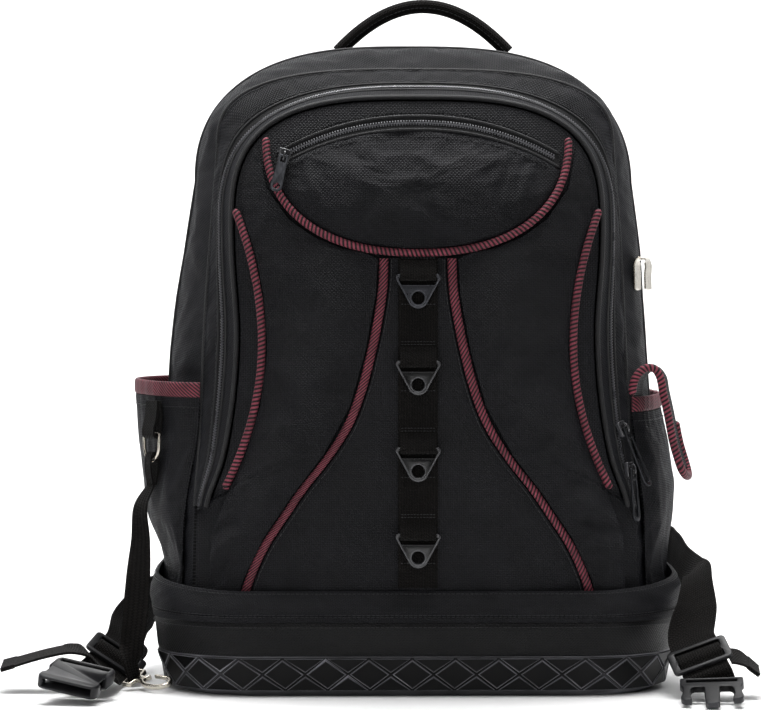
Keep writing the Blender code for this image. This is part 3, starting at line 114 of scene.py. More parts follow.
def cloth_finish(name, widths, painted_gap_shade, thread, rough, depth, **sockets):
    """Threads with shade painted dark into the gaps between them and a highlight painted on their tops, uneven dye
    and a soft unevenness of the whole cloth.
    """
    made, tree, shader = finish_of(name, rough[1], **sockets)
    spot = add(tree, "TexCoord", out=3)
    height = interlaced(tree, *widths)
    # thread tops painted lighter as a highlight, and the gaps between them darker as painted shade
    body = add(tree, "Mix", {0: height, 6: linear(painted_gap_shade), 7: linear(thread)}, 2, data_type="RGBA")
    uneven = add(tree, "TexNoise", {"Vector": spot, "Scale": 38.0, "Detail": 3.0})
    dye = add(tree, "MapRange", {0: uneven, 1: 0.3, 2: 0.7, 3: 0.75, 4: 1.25})
    join(tree, add(tree, "VectorMath", {0: body, "Scale": dye}, operation="SCALE"), shader, "Base Color")
    join(tree, add(tree, "MapRange", {0: height, 3: rough[0], 4: rough[1]}), shader, "Roughness")
    swell = add(tree, "TexNoise", {"Vector": spot, "Scale": 130.0, "Detail": 2.0})
    soft = add(tree, "Bump", {"Height": swell, "Distance": 0.0009, "Strength": 0.35})
    ridge = add(tree, "Bump", {"Height": height, "Distance": depth, "Strength": 0.8, "Normal": soft})
    join(tree, ridge, shader, "Normal")
    return made


def striped_finish(name):
    """Twill tape in two colours, its stripes 2 mm apart and aslant across the tape."""
    made, tree, shader = finish_of(name, 0.62, Specular_IOR_Level=0.3, Sheen_Weight=0.03, Sheen_Roughness=0.5)
    place = add(tree, "UVMap", uv_map=THREADS)
    turned = add(tree, "Mapping", {"Vector": place, "Rotation": (0, 0, math.radians(50))})
    stripe = add(tree, "TexWave", {"Vector": turned, "Scale": math.pi / 10 / 0.0020}, bands_direction="X")
    edge = add(tree, "MapRange", {0: stripe, 1: 0.36, 2: 0.60}, interpolation_type="SMOOTHSTEP")
    body = add(tree, "Mix", {0: edge, 6: linear("#080203"), 7: linear("#7a3542")}, 2, data_type="RGBA")
    spot = add(tree, "TexCoord", out=3)
    uneven = add(tree, "TexNoise", {"Vector": spot, "Scale": 90.0, "Detail": 3.0})
    dye = add(tree, "MapRange", {0: uneven, 1: 0.3, 2: 0.7, 3: 0.75, 4: 1.25})
    join(tree, add(tree, "VectorMath", {0: body, "Scale": dye}, operation="SCALE"), shader, "Base Color")
    first = add(tree, "Bump", {"Height": stripe, "Distance": 0.0004, "Strength": 0.6})
    fine = {"Height": interlaced(tree, 0.0006, 0.0006), "Distance": 0.0001, "Strength": 0.5, "Normal": first}
    join(tree, add(tree, "Bump", fine), shader, "Normal")
    return made


def moulded_finish(name, dark, worn_and_highlit, rough, grain, depth, wear_and_highlight, **sockets):
    """Moulded plastic or rubber with a fine grain, its sharp edges painted paler: a painted highlight along the
    edges, with some rubbed wear.
    """
    made, tree, shader = finish_of(name, rough, **sockets)
    spot = add(tree, "TexCoord", out=3)
    cloudy = add(tree, "TexNoise", {"Vector": spot, "Scale": 55.0, "Detail": 5.0})
    # pointiness picks out the sharp edges, which are painted paler: a painted highlight, with some rubbed wear
    edge = add(tree, "NewGeometry", out=7)
    edge = add(tree, "MapRange", {0: edge, 1: 0.505, 2: wear_and_highlight})
    patchy = add(tree, "MapRange", {0: cloudy, 1: 0.3, 2: 0.6, 3: 0.5})
    share = add(tree, "Math", {0: edge, 1: patchy}, operation="MULTIPLY")
    body = add(tree, "Mix", {0: share, 6: linear(dark), 7: linear(worn_and_highlit)}, 2, data_type="RGBA")
    join(tree, body, shader, "Base Color")
    dull = add(tree, "MapRange", {0: cloudy, 1: 0.3, 2: 0.7, 3: rough - 0.06, 4: rough + 0.10})
    join(tree, dull, shader, "Roughness")
    fine = add(tree, "TexNoise", {"Vector": spot, "Scale": grain, "Detail": 2.0})
    join(tree, add(tree, "Bump", {"Height": fine, "Distance": depth, "Strength": 0.5}), shader, "Normal")
    return made


def metal_finish(name, pale, dark, rough, streak=(1.0, 1.0, 1.0), grain=400.0):
    """Plated or brushed metal with uneven polish."""
    made, tree, shader = finish_of(name, rough, 1.0)
    spot = add(tree, "Mapping", {"Vector": add(tree, "TexCoord", out=3), "Scale": streak})
    cloudy = add(tree, "TexNoise", {"Vector": spot, "Scale": grain, "Detail": 3.0})
    body = add(tree, "Mix", {0: cloudy, 6: linear(pale), 7: linear(dark)}, 2, data_type="RGBA")
    join(tree, body, shader, "Base Color")
    dull = add(tree, "MapRange", {0: cloudy, 1: 0.3, 2: 0.7, 3: rough - 0.05, 4: rough + 0.08})
    join(tree, dull, shader, "Roughness")
    join(tree, add(tree, "Bump", {"Height": cloudy, "Distance": 0.00004, "Strength": 0.5}), shader, "Normal")
    return made


def netted_finish(name):
    """Knitted spacer mesh: round holes 3.4 mm apart in a soft black net, the holes painted darker as shade."""
    soft = {"Specular_IOR_Level": 0.25, "Sheen_Weight": 0.03, "Sheen_Roughness": 0.6}
    made, tree, shader = finish_of(name, 0.85, **soft)
    place = add(tree, "UVMap", uv_map=THREADS)
    cell = add(tree, "TexVoronoi", {"Vector": place, "Scale": 1 / 0.0034, "Randomness": 0.12})
    net = add(tree, "MapRange", {0: cell, 1: 0.18, 2: 0.42}, interpolation_type="SMOOTHSTEP")
    # the holes painted darker than the net, as painted shade in them
    body = add(tree, "Mix", {0: net, 6: linear("#030304"), 7: linear("#19191b")}, 2, data_type="RGBA")
    join(tree, body, shader, "Base Color")
    first = add(tree, "Bump", {"Height": net, "Distance": 0.0009, "Strength": 0.9})
    fine = {"Height": interlaced(tree, 0.0008, 0.0008), "Distance": 0.0001, "Strength": 0.4, "Normal": first}
    join(tree, add(tree, "Bump", fine), shader, "Normal")
    return made


def coated_finish(name):
    """Vinyl-coated cloth: glossy skin with the weave showing faintly through it."""
    made, tree, shader = finish_of(name, 0.36, Specular_IOR_Level=0.22)
    spot = add(tree, "TexCoord", out=3)
    cloudy = add(tree, "TexNoise", {"Vector": spot, "Scale": 30.0, "Detail": 4.0})
    body = add(tree, "Mix", {0: cloudy, 6: linear("#050506"), 7: linear("#0c0c0e")}, 2, data_type="RGBA")
    join(tree, body, shader, "Base Color")
    join(tree, add(tree, "MapRange", {0: cloudy, 1: 0.3, 2: 0.7, 3: 0.30, 4: 0.46}), shader, "Roughness")
    swell = add(tree, "TexNoise", {"Vector": spot, "Scale": 70.0, "Detail": 2.0})
    first = add(tree, "Bump", {"Height": swell, "Distance": 0.0006, "Strength": 0.4})
    height = interlaced(tree, 0.0012, 0.0012)
    weave = {"Height": height, "Distance": 0.00045, "Strength": 0.8, "Normal": first}
    join(tree, add(tree, "Bump", weave), shader, "Normal")
    return made


# Woven ballistic nylon gives a coarse over-and-under grain, with shade painted into the gaps, a highlight painted on
# the thread tops and a faint cold sheen. Real threads are 0.8 mm wide, drawn here 1.3 mm so that they show.
NYLON = cloth_finish(
    "ballistic_nylon", (0.0013, 0.0013), "#020203", "#18181c", (0.85, 0.52), 0.00055,
    Specular_IOR_Level=0.22, Sheen_Weight=0.02, Sheen_Roughness=0.40, Sheen_Tint=linear("#b9c2e2"),
)
# Nylon webbing gives close dull ribs in a brownish black
WEBBING = cloth_finish(
    "nylon_webbing", (0.0011, 0.0019), "#020202", "#120f0d", (0.95, 0.68), 0.0007,
    Specular_IOR_Level=0.10, Sheen_Weight=0.02, Sheen_Roughness=0.6,
)
# Polyester zip tape gives a fine flat weave
TAPE = cloth_finish(
    "polyester_zip_tape", (0.0009, 0.0007), "#040405", "#121214", (0.8, 0.58), 0.0002,
    Specular_IOR_Level=0.30,
)
# Piping covered in stretched nylon gives a thin, slightly glossy line
PIPING = cloth_finish(
    "covered_piping", (0.0009, 0.0009), "#040405", "#1a1a1d", (0.66, 0.40), 0.00025,
    Specular_IOR_Level=0.40, Sheen_Weight=0.03,
)
# Bonded nylon thread gives small paler dashes along the seams
STITCH = cloth_finish("bonded_nylon_thread", (0.0004, 0.0004), "#0c0c0e", "#242428", (0.55, 0.40), 0.0001)
# Twill tape gives the slanting dark red stripes of every bound edge
STRIPED = striped_finish("striped_twill_tape")
# Spacer mesh gives the back and the shoulder straps their soft holes
MESH = netted_finish("knitted_spacer_mesh")
# Thermoplastic rubber gives the base its satin black, its edges painted paler as a highlight
RUBBER = moulded_finish(
    "moulded_rubber", "#040405", "#8a8a90", 0.42, 900.0, 0.00012, 0.575, Specular_IOR_Level=0.14,
)
# Acetal gives the buckles and slides a smooth black with a soft shine, their edges painted a little paler as a
# highlight
ACETAL = moulded_finish(
    "moulded_acetal", "#040405", "#39393c", 0.40, 1400.0, 0.00006, 0.60, IOR=1.48, Specular_IOR_Level=0.25,
)
# Nylon monofilament gives the coils their glossy dark grey teeth, their edges painted paler as a highlight
COIL = moulded_finish("nylon_monofilament", "#26262a", "#5a5a5e", 0.28, 800.0, 0.00003, 0.62, IOR=1.53)
# Nickel-plated steel gives a bright, slightly warm mirror
NICKEL = metal_finish("nickel_plated_steel", "#d6d0c4", "#a7a196", 0.18)
# Black paint over die-cast zinc gives rings and sliders a hard gloss, greyer at their edges: partly worn paint,
# partly a painted highlight
BLACK_STEEL = moulded_finish(
    "blackened_steel", "#060607", "#4c4c50", 0.26, 1200.0, 0.00004, 0.60,
    Coat_Weight=0.5, Coat_Roughness=0.18,
)
# Worn plating gives the first ring a grey metal sheen
GUNMETAL = metal_finish("gunmetal_plate", "#5c5d62", "#3c3d41", 0.30)
# Brushed zinc gives the pulls fine upright streaks
BRUSHED = metal_finish("brushed_zinc", "#55565a", "#2c2d30", 0.34, (1.0, 1.0, 0.08), 900.0)
# Vinyl-coated cloth gives the band above the tray a smooth dark shine
COATED = coated_finish("vinyl_coated_cloth")

# Shapes


def through(knots, values, at):
    """A smooth curve through the values, read at the places in at."""
    knots = np.asarray(knots, float)
    values = np.asarray(values, float)
    at = np.clip(np.asarray(at, float), knots[0], knots[-1])
    slope = np.gradient(values, knots, axis=0)
    index = np.clip(np.searchsorted(knots, at, side="right") - 1, 0, len(knots) - 2)
    span = knots[index + 1] - knots[index]
    share = (at - knots[index]) / span
    if values.ndim > 1:
        share = share[..., None]
        span = span[..., None]
    first = values[index]
    last = values[index + 1]
    leave = slope[index] * span
    arrive = slope[index + 1] * span
    rise = last - first
    bend = 3 * rise - 2 * leave - arrive + share * (leave + arrive - 2 * rise)
    return first + share * (leave + share * bend)


def unit(vectors):
    """The vectors at a length of 1."""
    return vectors / np.linalg.norm(vectors, axis=-1, keepdims=True)


def lengths(line):
    """How far along the line each of its points lies."""
    return np.concatenate([[0.0], np.cumsum(np.linalg.norm(np.diff(line[:, :3], axis=0), axis=1))])


def evenly(line, count):
    """The line read again at count + 1 points, an equal length apart."""
    line = np.asarray(line, float)
    length = lengths(line)
    places = np.linspace(0.0, length[-1], count + 1)
    return np.column_stack([np.interp(places, length, column) for column in line.T])


def route(rows, count):
    """An even smooth path through the rows, whose first three columns are a position."""
    rows = np.asarray(rows, float)
    length = lengths(rows)
    return evenly(through(length, rows, np.linspace(0.0, length[-1], 30 * len(rows))), count)


def laid(grid):
    """Thread coordinates of a grid of points: along its columns, and across its rows, in metres."""
    along = np.linalg.norm(np.diff(grid, axis=1), axis=2).mean(axis=0)
    across = np.linalg.norm(np.diff(grid, axis=0), axis=2).mean(axis=1)
    along = np.concatenate([[0.0], np.cumsum(along)])
    across = np.concatenate([[0.0], np.cumsum(across)])
    return np.stack(np.broadcast_arrays(along[None, :], across[:, None]), axis=-1)


def piece(name, points, faces, threads, finish, merge=False, angle=40):
    """An object of one mesh, with its thread coordinates and its faces turned outwards."""
    mesh = bpy.data.meshes.new(name)
    mesh.from_pydata(np.asarray(points, float).tolist(), [], [list(map(int, face)) for face in faces])
    if threads is not None:
        corners = np.empty(len(mesh.loops), int)
        mesh.loops.foreach_get("vertex_index", corners)
        layer = mesh.uv_layers.new(name=THREADS)
        layer.uv.foreach_set("vector", np.asarray(threads)[corners].astype(np.float32).ravel())
    shape = bmesh.new()
    shape.from_mesh(mesh)
    if merge:
        bmesh.ops.remove_doubles(shape, verts=shape.verts, dist=1e-7)
    bmesh.ops.recalc_face_normals(shape, faces=shape.faces)
    shape.to_mesh(mesh)
    shape.free()
    return shown(name, mesh, finish, angle)


def shown(name, mesh, finish, angle=40):
    """An object of the mesh in one finish, smooth but for its sharp edges."""
    made = bpy.data.objects.new(name, mesh)
    mesh.materials.clear()
    mesh.materials.append(finish)
    scene.collection.objects.link(made)
    mesh.shade_smooth()
    mesh.set_sharp_from_angle(angle=math.radians(angle))
    return made


def quads(rows, columns):
    """The faces of a grid of points."""
    index = np.arange(rows * columns).reshape(rows, columns)
    return np.stack([index[:-1, :-1], index[:-1, 1:], index[1:, 1:], index[1:, :-1]], axis=-1).reshape(-1, 4)


def wall(name, outer, inner, finish, closed=False, flat=False):
    """A closed wall between two matching grids of points, rows by columns."""
    rows, columns = outer.shape[:2]
    size = rows * columns
    index = np.arange(size).reshape(rows, columns)
    faces = [quads(rows, columns), quads(rows, columns)[:, ::-1] + size]
    edges = [index[0], index[-1]]
    if not closed:
        edges += [index[:, 0], index[:, -1]]
    for edge in edges:
        faces.append(np.stack([edge[:-1], edge[1:], edge[1:] + size, edge[:-1] + size], axis=-1))
    threads = outer[:, :, [0, 2]] if flat else laid(outer)
    threads = np.tile(threads.reshape(-1, 2), (2, 1))
    points = np.concatenate([outer.reshape(-1, 3), inner.reshape(-1, 3)])
    return piece(name, points, np.concatenate(faces), threads, finish, merge=closed)


def thickened(grid, thickness):
    """The grid moved off itself along its own normals."""
    return grid + unit(np.cross(np.gradient(grid, axis=0), np.gradient(grid, axis=1))) * thickness


def frames_along(path, across, closed=False):
    """Directions along a path: its tangent, its side and its rise."""
    if closed:
        tangent = unit(np.roll(path, -1, axis=0) - np.roll(path, 1, axis=0))
    else:
        tangent = unit(np.gradient(path, axis=0))
    across = np.broadcast_to(np.asarray(across, float), path.shape)
    side = unit(across - np.sum(across * tangent, axis=1, keepdims=True) * tangent)
    return tangent, side, np.cross(tangent, side)


def sweep(name, path, across, profile, finish, closed=False, ends=0.0):
    """A solid with the profile carried along the path. Ends rounds its two ends off over that length."""
    path = np.asarray(path, float)
    profile = np.broadcast_to(profile, (len(path), *np.shape(profile)[-2:])).copy()
    _, side, rise = frames_along(path, across, closed)
    length = lengths(path)
    if ends:
        near = np.minimum(length, length[-1] - length) / ends
        profile *= np.sqrt(1 - (1 - np.clip(near, 0.04, 1.0)) ** 2)[:, None, None]
    profile = np.concatenate([profile, profile[:, :1]], axis=1)
    rings = path[:, None] + side[:, None] * profile[:, :, :1] + rise[:, None] * profile[:, :, 1:]
    if closed:
        rings = np.concatenate([rings, rings[:1]])
        length = np.append(length, length[-1] + np.linalg.norm(path[0] - path[-1]))
    rows, columns = rings.shape[:2]
    threads = np.stack(np.broadcast_arrays(length[:, None], lengths(profile[0])[None, :]), axis=-1)
    faces = quads(rows, columns).tolist()
    if not closed:
        faces.append(list(range(columns - 1)))
        faces.append([(rows - 1) * columns + place for place in range(columns - 1)])
    return piece(name, rings.reshape(-1, 3), faces, threads.reshape(-1, 2), finish, merge=True)


def circle(radius, sides, flatten=1.0):
    """A round or flattened outline, as a profile."""
    turn = np.arange(sides) * 2 * math.pi / sides
    return np.column_stack([radius * np.cos(turn), radius * flatten * np.sin(turn)])


def webbing_profile(width, thickness):
    """Flat webbing in section: soft edges, a little thicker along the selvedges."""
    half = width / 2
    rise = thickness / 2
    turn = np.linspace(-math.pi / 2, math.pi / 2, 7)
    right = np.column_stack([half - rise + rise * np.cos(turn), rise * 1.15 * np.sin(turn)])
    upper = np.column_stack([np.linspace(0.75, -0.75, 7) * half, np.full(7, rise * 0.9)])
    return np.concatenate([right, upper, -right, -upper])


def ribbon(name, line, thickness, finish):
    """Flat webbing along a line of positions, with the direction of its width and the width itself."""
    profiles = np.array([webbing_profile(width, thickness) for width in line[:, 6]])
    return sweep(name, line[:, :3], line[:, 3:6], profiles, finish)


def plate(name, outlines, thickness, edge, finish, angle=40):
    """A flat plate in its own XZ plane with rounded edges, from an outline and the outlines of its holes."""
    drawing = bpy.data.curves.new(name, "CURVE")
    drawing.dimensions = "2D"
    drawing.fill_mode = "BOTH"
    drawing.extrude = thickness / 2 - edge
    drawing.bevel_depth = edge
    drawing.bevel_resolution = 2
    drawing.offset = -edge
    for outline in outlines:
        spline = drawing.splines.new("POLY")
        spline.points.add(len(outline) - 1)
        for point, (x, z) in zip(spline.points, outline):
            point.co = (x, z, 0.0, 1.0)
        spline.use_cyclic_u = True
    drawn = bpy.data.objects.new(name + "_drawing", drawing)
    scene.collection.objects.link(drawn)
    bpy.context.view_layer.update()
    mesh = bpy.data.meshes.new_from_object(drawn)
    bpy.data.objects.remove(drawn, do_unlink=True)
    mesh.transform(Matrix.Rotation(math.pi / 2, 4, "X"))
    shape = bmesh.new()
    shape.from_mesh(mesh)
    bmesh.ops.remove_doubles(shape, verts=shape.verts, dist=1e-6)
    bmesh.ops.recalc_face_normals(shape, faces=shape.faces)
    shape.to_mesh(mesh)
    shape.free()
    mesh.name = name
    return shown(name, mesh, finish, angle)


def arc(centre, radius, start, end, count):
    """Points on an arc in the XZ plane, between two angles in degrees."""
    turn = np.radians(np.linspace(start, end, count))
    return [(centre[0] + radius * math.cos(a), centre[1] + radius * math.sin(a)) for a in turn]


def rounded(half_wide, half_high, radius, centre=(0.0, 0.0), steps=7):
    """A rectangle's outline with round corners."""
    outline = []
    for turn, (sx, sz) in enumerate(((1, 1), (-1, 1), (-1, -1), (1, -1))):
        corner = (centre[0] + sx * (half_wide - radius), centre[1] + sz * (half_high - radius))
        outline += arc(corner, radius, 90 * turn, 90 * turn + 90, steps)
    return outline


def place(made, origin, right, up):
    """Puts a piece's own X along right and its Z along up, with its front at -Y."""
    up = Vector(up).normalized()
    right = Vector(right)
    right = (right - right.dot(up) * up).normalized()
    turn = Matrix((right, up.cross(right), up)).transposed().to_4x4()
    made.data.transform(Matrix.Translation(Vector(origin)) @ turn)
    return made


def united(made, *others):
    """Joins other pieces into the first, as they are."""
    shape = bmesh.new()
    for each in (made, *others):
        shape.from_mesh(each.data)
    shape.to_mesh(made.data)
    shape.free()
    for each in others:
        bpy.data.objects.remove(each, do_unlink=True)
    return made


def cut(made, *cutters):
    """Cuts other pieces out of the first."""
    for cutter in cutters:
        modifier = made.modifiers.new("cut", "BOOLEAN")
        modifier.operation = "DIFFERENCE"
        modifier.solver = "EXACT"
        modifier.object = cutter
    applied(made)
    for cutter in cutters:
        bpy.data.objects.remove(cutter, do_unlink=True)
    return made


def applied(made):
    """Turns a piece's modifiers into its mesh."""
    bpy.context.view_layer.update()
    settled = made.evaluated_get(bpy.context.evaluated_depsgraph_get())
    mesh = bpy.data.meshes.new_from_object(settled)
    made.modifiers.clear()
    made.data = mesh
    return made


def ripple(points, length, height, seed):
    """A soft random unevenness of about that wavelength and height at the points."""
    draw = np.random.default_rng(seed)
    total = np.zeros(points.shape[:-1])
    for _ in range(14):
        way = draw.normal(size=points.shape[-1])
        way /= np.linalg.norm(way)
        wave = length * draw.uniform(0.6, 1.6)
        total += np.sin(points @ way * 2 * math.pi / wave + draw.uniform(0, 2 * math.pi))
    return total * height / 3.7


def creases(x, z, rows):
    """Heights of soft folds: each row gives a fold's two ends, its half width and its height."""
    total = np.zeros(np.broadcast(x, z).shape)
    for x_1, z_1, x_2, z_2, half, height in rows:
        way = np.array((x_2 - x_1, z_2 - z_1))
        reach = np.hypot(*way)
        way /= reach
        along = (x - x_1) * way[0] + (z - z_1) * way[1]
        aside = (z - z_1) * way[0] - (x - x_1) * way[1]
        past = np.maximum(np.maximum(-along, along - reach), 0.0)
        total += height * np.exp(-((aside / half) ** 2) - (past / (1.6 * half)) ** 2)
    return total


CLOTH_FRAMES = 18


def settled(points, faces, held, pressure, slack, cap):
    """Lets a sewn sheet settle as cloth: points held at its seams stay, and none moves further than cap."""
    mesh = bpy.data.meshes.new("sheet")
    mesh.from_pydata(points.tolist(), [], faces)
    sheet = bpy.data.objects.new("sheet", mesh)
    scene.collection.objects.link(sheet)
    group = sheet.vertex_groups.new(name="seams")
    group.add([int(place) for place in np.flatnonzero(held)], 1.0, "REPLACE")
    modifier = sheet.modifiers.new("cloth", "CLOTH")
    cloth = modifier.settings
    cloth.quality = 5
    cloth.mass = 0.3
    cloth.tension_stiffness = 15
    cloth.compression_stiffness = 15
    cloth.shear_stiffness = 5
    cloth.bending_stiffness = 0.8
    cloth.use_pressure = True
    cloth.uniform_pressure_force = pressure
    cloth.shrink_min = -slack
    cloth.vertex_group_mass = "seams"
    cloth.effector_weights.gravity = 0.0
    modifier.point_cache.frame_start = 1
    modifier.point_cache.frame_end = CLOTH_FRAMES
    for step in range(1, CLOTH_FRAMES + 1):
        scene.frame_set(step)
    result = sheet.evaluated_get(bpy.context.evaluated_depsgraph_get())
    flat = np.empty(len(mesh.vertices) * 3)
    result.data.vertices.foreach_get("co", flat)
    moved = flat.reshape(-1, 3) - points
    bpy.data.objects.remove(sheet, do_unlink=True)
    scene.frame_set(1)
    far = np.linalg.norm(moved, axis=1, keepdims=True)
    return points + moved * np.minimum(1.0, cap / np.maximum(far, 1e-9))


def settled_grid(grid, pressure, slack, cap):
    """The same for a grid of points, held along its border."""
    rows, columns = grid.shape[:2]
    held = np.ones((rows, columns), bool)
    held[1:-1, 1:-1] = False
    faces = quads(rows, columns).tolist()
    return settled(grid.reshape(-1, 3), faces, held.ravel(), pressure, slack, cap).reshape(grid.shape)


def fit(made, nodes=(), body="bag"):
    """Sets a piece on its body, in place of the nodes it stands for."""
    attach(made, body)
    if nodes:
        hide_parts(*([nodes] if isinstance(nodes, str) else nodes))
    return made


# a stitch's four sections: place along it as a share of the pitch, size, and height as a share of its size
STITCH_RINGS = ((-0.40, 0.5, 0.0), (-0.2, 1.0, 0.6), (0.2, 1.0, 0.6), (0.40, 0.5, 0.0))


def stitches(name, lines, pitch=0.0034, size=0.00034):
    """Rows of sewn stitches: each line gives the positions and the direction that faces out."""
    points = []
    faces = []
    around = np.array([(math.cos(a), math.sin(a)) for a in np.radians((45, 135, 225, 315))])
    for line, out in lines:
        line = np.asarray(line, float)
        count = max(1, int(lengths(line)[-1] / pitch))
        middle = evenly(line, 2 * count)
        out = np.broadcast_to(np.asarray(out, float), line.shape)
        out = evenly(np.column_stack([line, out]), 2 * count)[:, 3:]
        tangent, side, _ = frames_along(middle, np.cross(np.gradient(middle, axis=0), out))
        for at in range(1, 2 * count, 2):
            base = len(points)
            normal = unit(out[at])
            for along, scale, lift in STITCH_RINGS:
                ring = middle[at] + tangent[at] * along * pitch + normal * lift * size
                points += [ring + (side[at] * a + normal * b) * size * scale for a, b in around]
            for low in range(base, base + 12, 4):
                for corner in range(4):
                    after = (corner + 1) % 4
                    faces.append((low + corner, low + after, low + 4 + after, low + 4 + corner))
            faces.append((base, base + 1, base + 2, base + 3))
            faces.append((base + 12, base + 13, base + 14, base + 15))
    return piece(name, points, faces, np.array(points)[:, [0, 2]], STITCH)


TOOTH_PITCH = 0.0020
TOOTH_REACH = 0.0020
TOOTH_RISE = 0.0012
# one tooth in section, as shares of its reach and its rise
TOOTH = np.array([(-0.25, 0.0), (-0.22, 0.75), (0.05, 1.0), (0.75, 0.85), (1.0, 0.25), (0.98, 0.0)])


def coil(name, path, out):
    """A closed coil zipper: two rows of small teeth that meet in the middle."""
    teeth = 2 * int(lengths(path)[-1] / TOOTH_PITCH)
    both = evenly(np.column_stack([path, np.broadcast_to(out, path.shape)]), teeth)
    line = both[:, :3]
    out = both[:, 3:]
    tangent = unit(np.gradient(line, axis=0))
    out = unit(out - np.sum(out * tangent, axis=1, keepdims=True) * tangent)
    side = np.cross(out, tangent)
    half = TOOTH_PITCH * 0.21
    size = len(TOOTH)
    points = []
    faces = []
    for at in range(len(line)):
        way = 1 if at % 2 else -1
        ring = line[at] + side[at] * (TOOTH[:, :1] * TOOTH_REACH * way) + out[at] * TOOTH[:, 1:] * TOOTH_RISE
        base = len(points)
        points += [*(ring - tangent[at] * half), *(ring + tangent[at] * half)]
        for here in range(size):
            after = (here + 1) % size
            faces.append((base + here, base + after, base + size + after, base + size + here))
        faces.append(tuple(range(base, base + size)))
        faces.append(tuple(range(base + size, base + 2 * size)))
    return piece(name, points, faces, np.array(points)[:, [0, 2]], COIL, angle=50)


# The body's seams and the face of the front panel, from the same measures as its solids

CLOTH = 0.002
PIPE = 0.0018
BINDING = 0.0028
LIFT = 0.0016
CORNER = 0.073
CLOTH_LOW = 0.0568
GUSSET_LOW = 0.144
# the front compartment's ends, tucked in behind the pouches
ZIP_TUCK = 0.1365
# height of the top, the arch's own height, the powers of its curve, and its share of the body's lean
SEAMS = {
    "front": (1, 0.437, 0.100, 3.0, 3.0, 0.0),
    "zip": (2, 0.444, 0.100, 2.6, 2.6, 0.0),
    "valley": (3, 0.459, 0.060, 3.0, 3.0, 0.25),
    "rear": (4, 0.480, 0.102, 2.2, 2.9, 1.0),
    "back": (5, 0.471, 0.100, 2.3, 2.7, 1.0),
}
LEAN_ROWS = (
    (0.056, -0.0034),
    (0.200, -0.0040),
    (0.250, -0.0043),
    (0.290, -0.0034),
    (0.325, -0.0014),
    (0.380, -0.0007),
    (0.430, -0.0020),
    (0.480, -0.0022),
)
SIDE_ROWS = np.array((
    (0.056, 0.1600, 0.1625, 0.1635, 0.1810, 0.1745),
    (0.144, 0.1535, 0.1575, 0.1612, 0.1822, 0.1750),
    (0.170, 0.1442, 0.1505, 0.1595, 0.1832, 0.1755),
    (0.200, 0.1384, 0.1465, 0.1580, 0.1826, 0.1752),
    (0.260, 0.1335, 0.1425, 0.1560, 0.1792, 0.1722),
    (0.320, 0.1370, 0.1445, 0.1530, 0.1730, 0.1668),
    (0.400, 0.1380, 0.1445, 0.1470, 0.1617, 0.1565),
))
DEPTH_ROWS = np.array((
    (0.056, -0.0920, -0.0900, -0.0880, 0.000, 0.092),
    (0.144, -0.0935, -0.0865, -0.0795, 0.000, 0.092),
    (0.200, -0.0920, -0.0790, -0.0640, 0.002, 0.092),
    (0.300, -0.0900, -0.0730, -0.0520, 0.004, 0.092),
    (0.480, -0.0840, -0.0660, -0.0460, 0.006, 0.092),
))
PANEL_MIDDLE = 0.220
PANEL_CROWN = -0.1145
PANEL_FALL = 3.5
PANEL_LOW = 0.060
PANEL_SHOULDER = 0.137
PANEL_BOTTOM_DEPTH = -0.1040
POCKET_HALF = 0.110
POCKET_RIM = 0.405
POCKET_DROP = 0.0845
POCKET_POWER = 2.3
POCKET_MIDDLE = 0.366
ZIP_TOP = 0.4155
ZIP_FALL = 0.0275
ZIP_HALF_SPAN = 0.103
ZIP_TAPE = 0.0052
STRIP_ROWS = np.array((
    (0.0605, 0.1285),
    (0.0805, 0.1230),
    (0.1080, 0.1110),
    (0.1310, 0.0960),
    (0.1500, 0.0830),
    (0.1700, 0.0672),
    (0.1950, 0.0510),
    (0.2220, 0.0405),
    (0.2470, 0.0340),
    (0.2700, 0.0292),
    (0.3000, 0.0250),
    (0.3165, 0.0245),
))
STRIP_WIDTH = 0.0075
STRIP_THICK = 0.0026


def half_width(seam, height):
    """How far out a seam runs at a height."""
    column, top, arch, rise, run, _ = SEAMS[seam]
    height = np.asarray(height, float)
    side = through(SIDE_ROWS[:, 0], SIDE_ROWS[:, column], np.minimum(height, top - arch))
    climb = np.clip((height - top + arch) / arch, 0.0, 1.0)
    return side * (1 - climb**rise) ** (1 / run)


def seam_depth(seam, height):
    """How far back a seam runs at a height."""
    return through(DEPTH_ROWS[:, 0], DEPTH_ROWS[:, SEAMS[seam][0]], height)
def seam_line(seam, low, count):
    """The seam from its low right end, over the top, to its low left end."""
    _, top, arch, rise, run, lean = SEAMS[seam]
    turn = np.linspace(0.0, math.pi / 2, 160)
    shoulder = top - arch
    crown = shoulder + arch * np.sin(turn) ** (2 / rise)
    crown_across = half_width(seam, shoulder) * np.cos(turn) ** (2 / run)
    sides = np.linspace(low, shoulder, 160)
    right = np.column_stack([half_width(seam, sides), sides])
    right = np.concatenate([right[:-1], np.column_stack([crown_across, crown])])
    flat = evenly_flat(np.concatenate([right, right[-2::-1] * (-1, 1)]), count)
    lean = lean * np.interp(flat[:, 1], *np.transpose(LEAN_ROWS))
    return np.column_stack([flat[:, 0] + lean, seam_depth(seam, flat[:, 1]), flat[:, 1]])


def evenly_flat(line, count):
    """The same as evenly, for a line in a plane."""
    return evenly(np.column_stack([line, np.zeros(len(line))]), count)[:, :2]


def inward(line, distance):
    """The line moved towards its own inside, in the plane of the front."""
    tangent = unit(np.gradient(line[:, [0, 2]], axis=0))
    moved = line.copy()
    moved[:, 0] -= tangent[:, 1] * distance
    moved[:, 2] += tangent[:, 0] * distance
    return moved


def shifted(line, depth):
    """The line moved back by a depth."""
    return line + np.array((0.0, depth, 0.0))


def bowed(first, middle, last, count):
    """Lines between three lines, on a smooth curve through them."""
    share = np.linspace(0.0, 2.0, count)
    rows = np.array([first, middle, last]).reshape(3, -1)
    return through((0.0, 1.0, 2.0), rows, share).reshape(count, -1, 3)


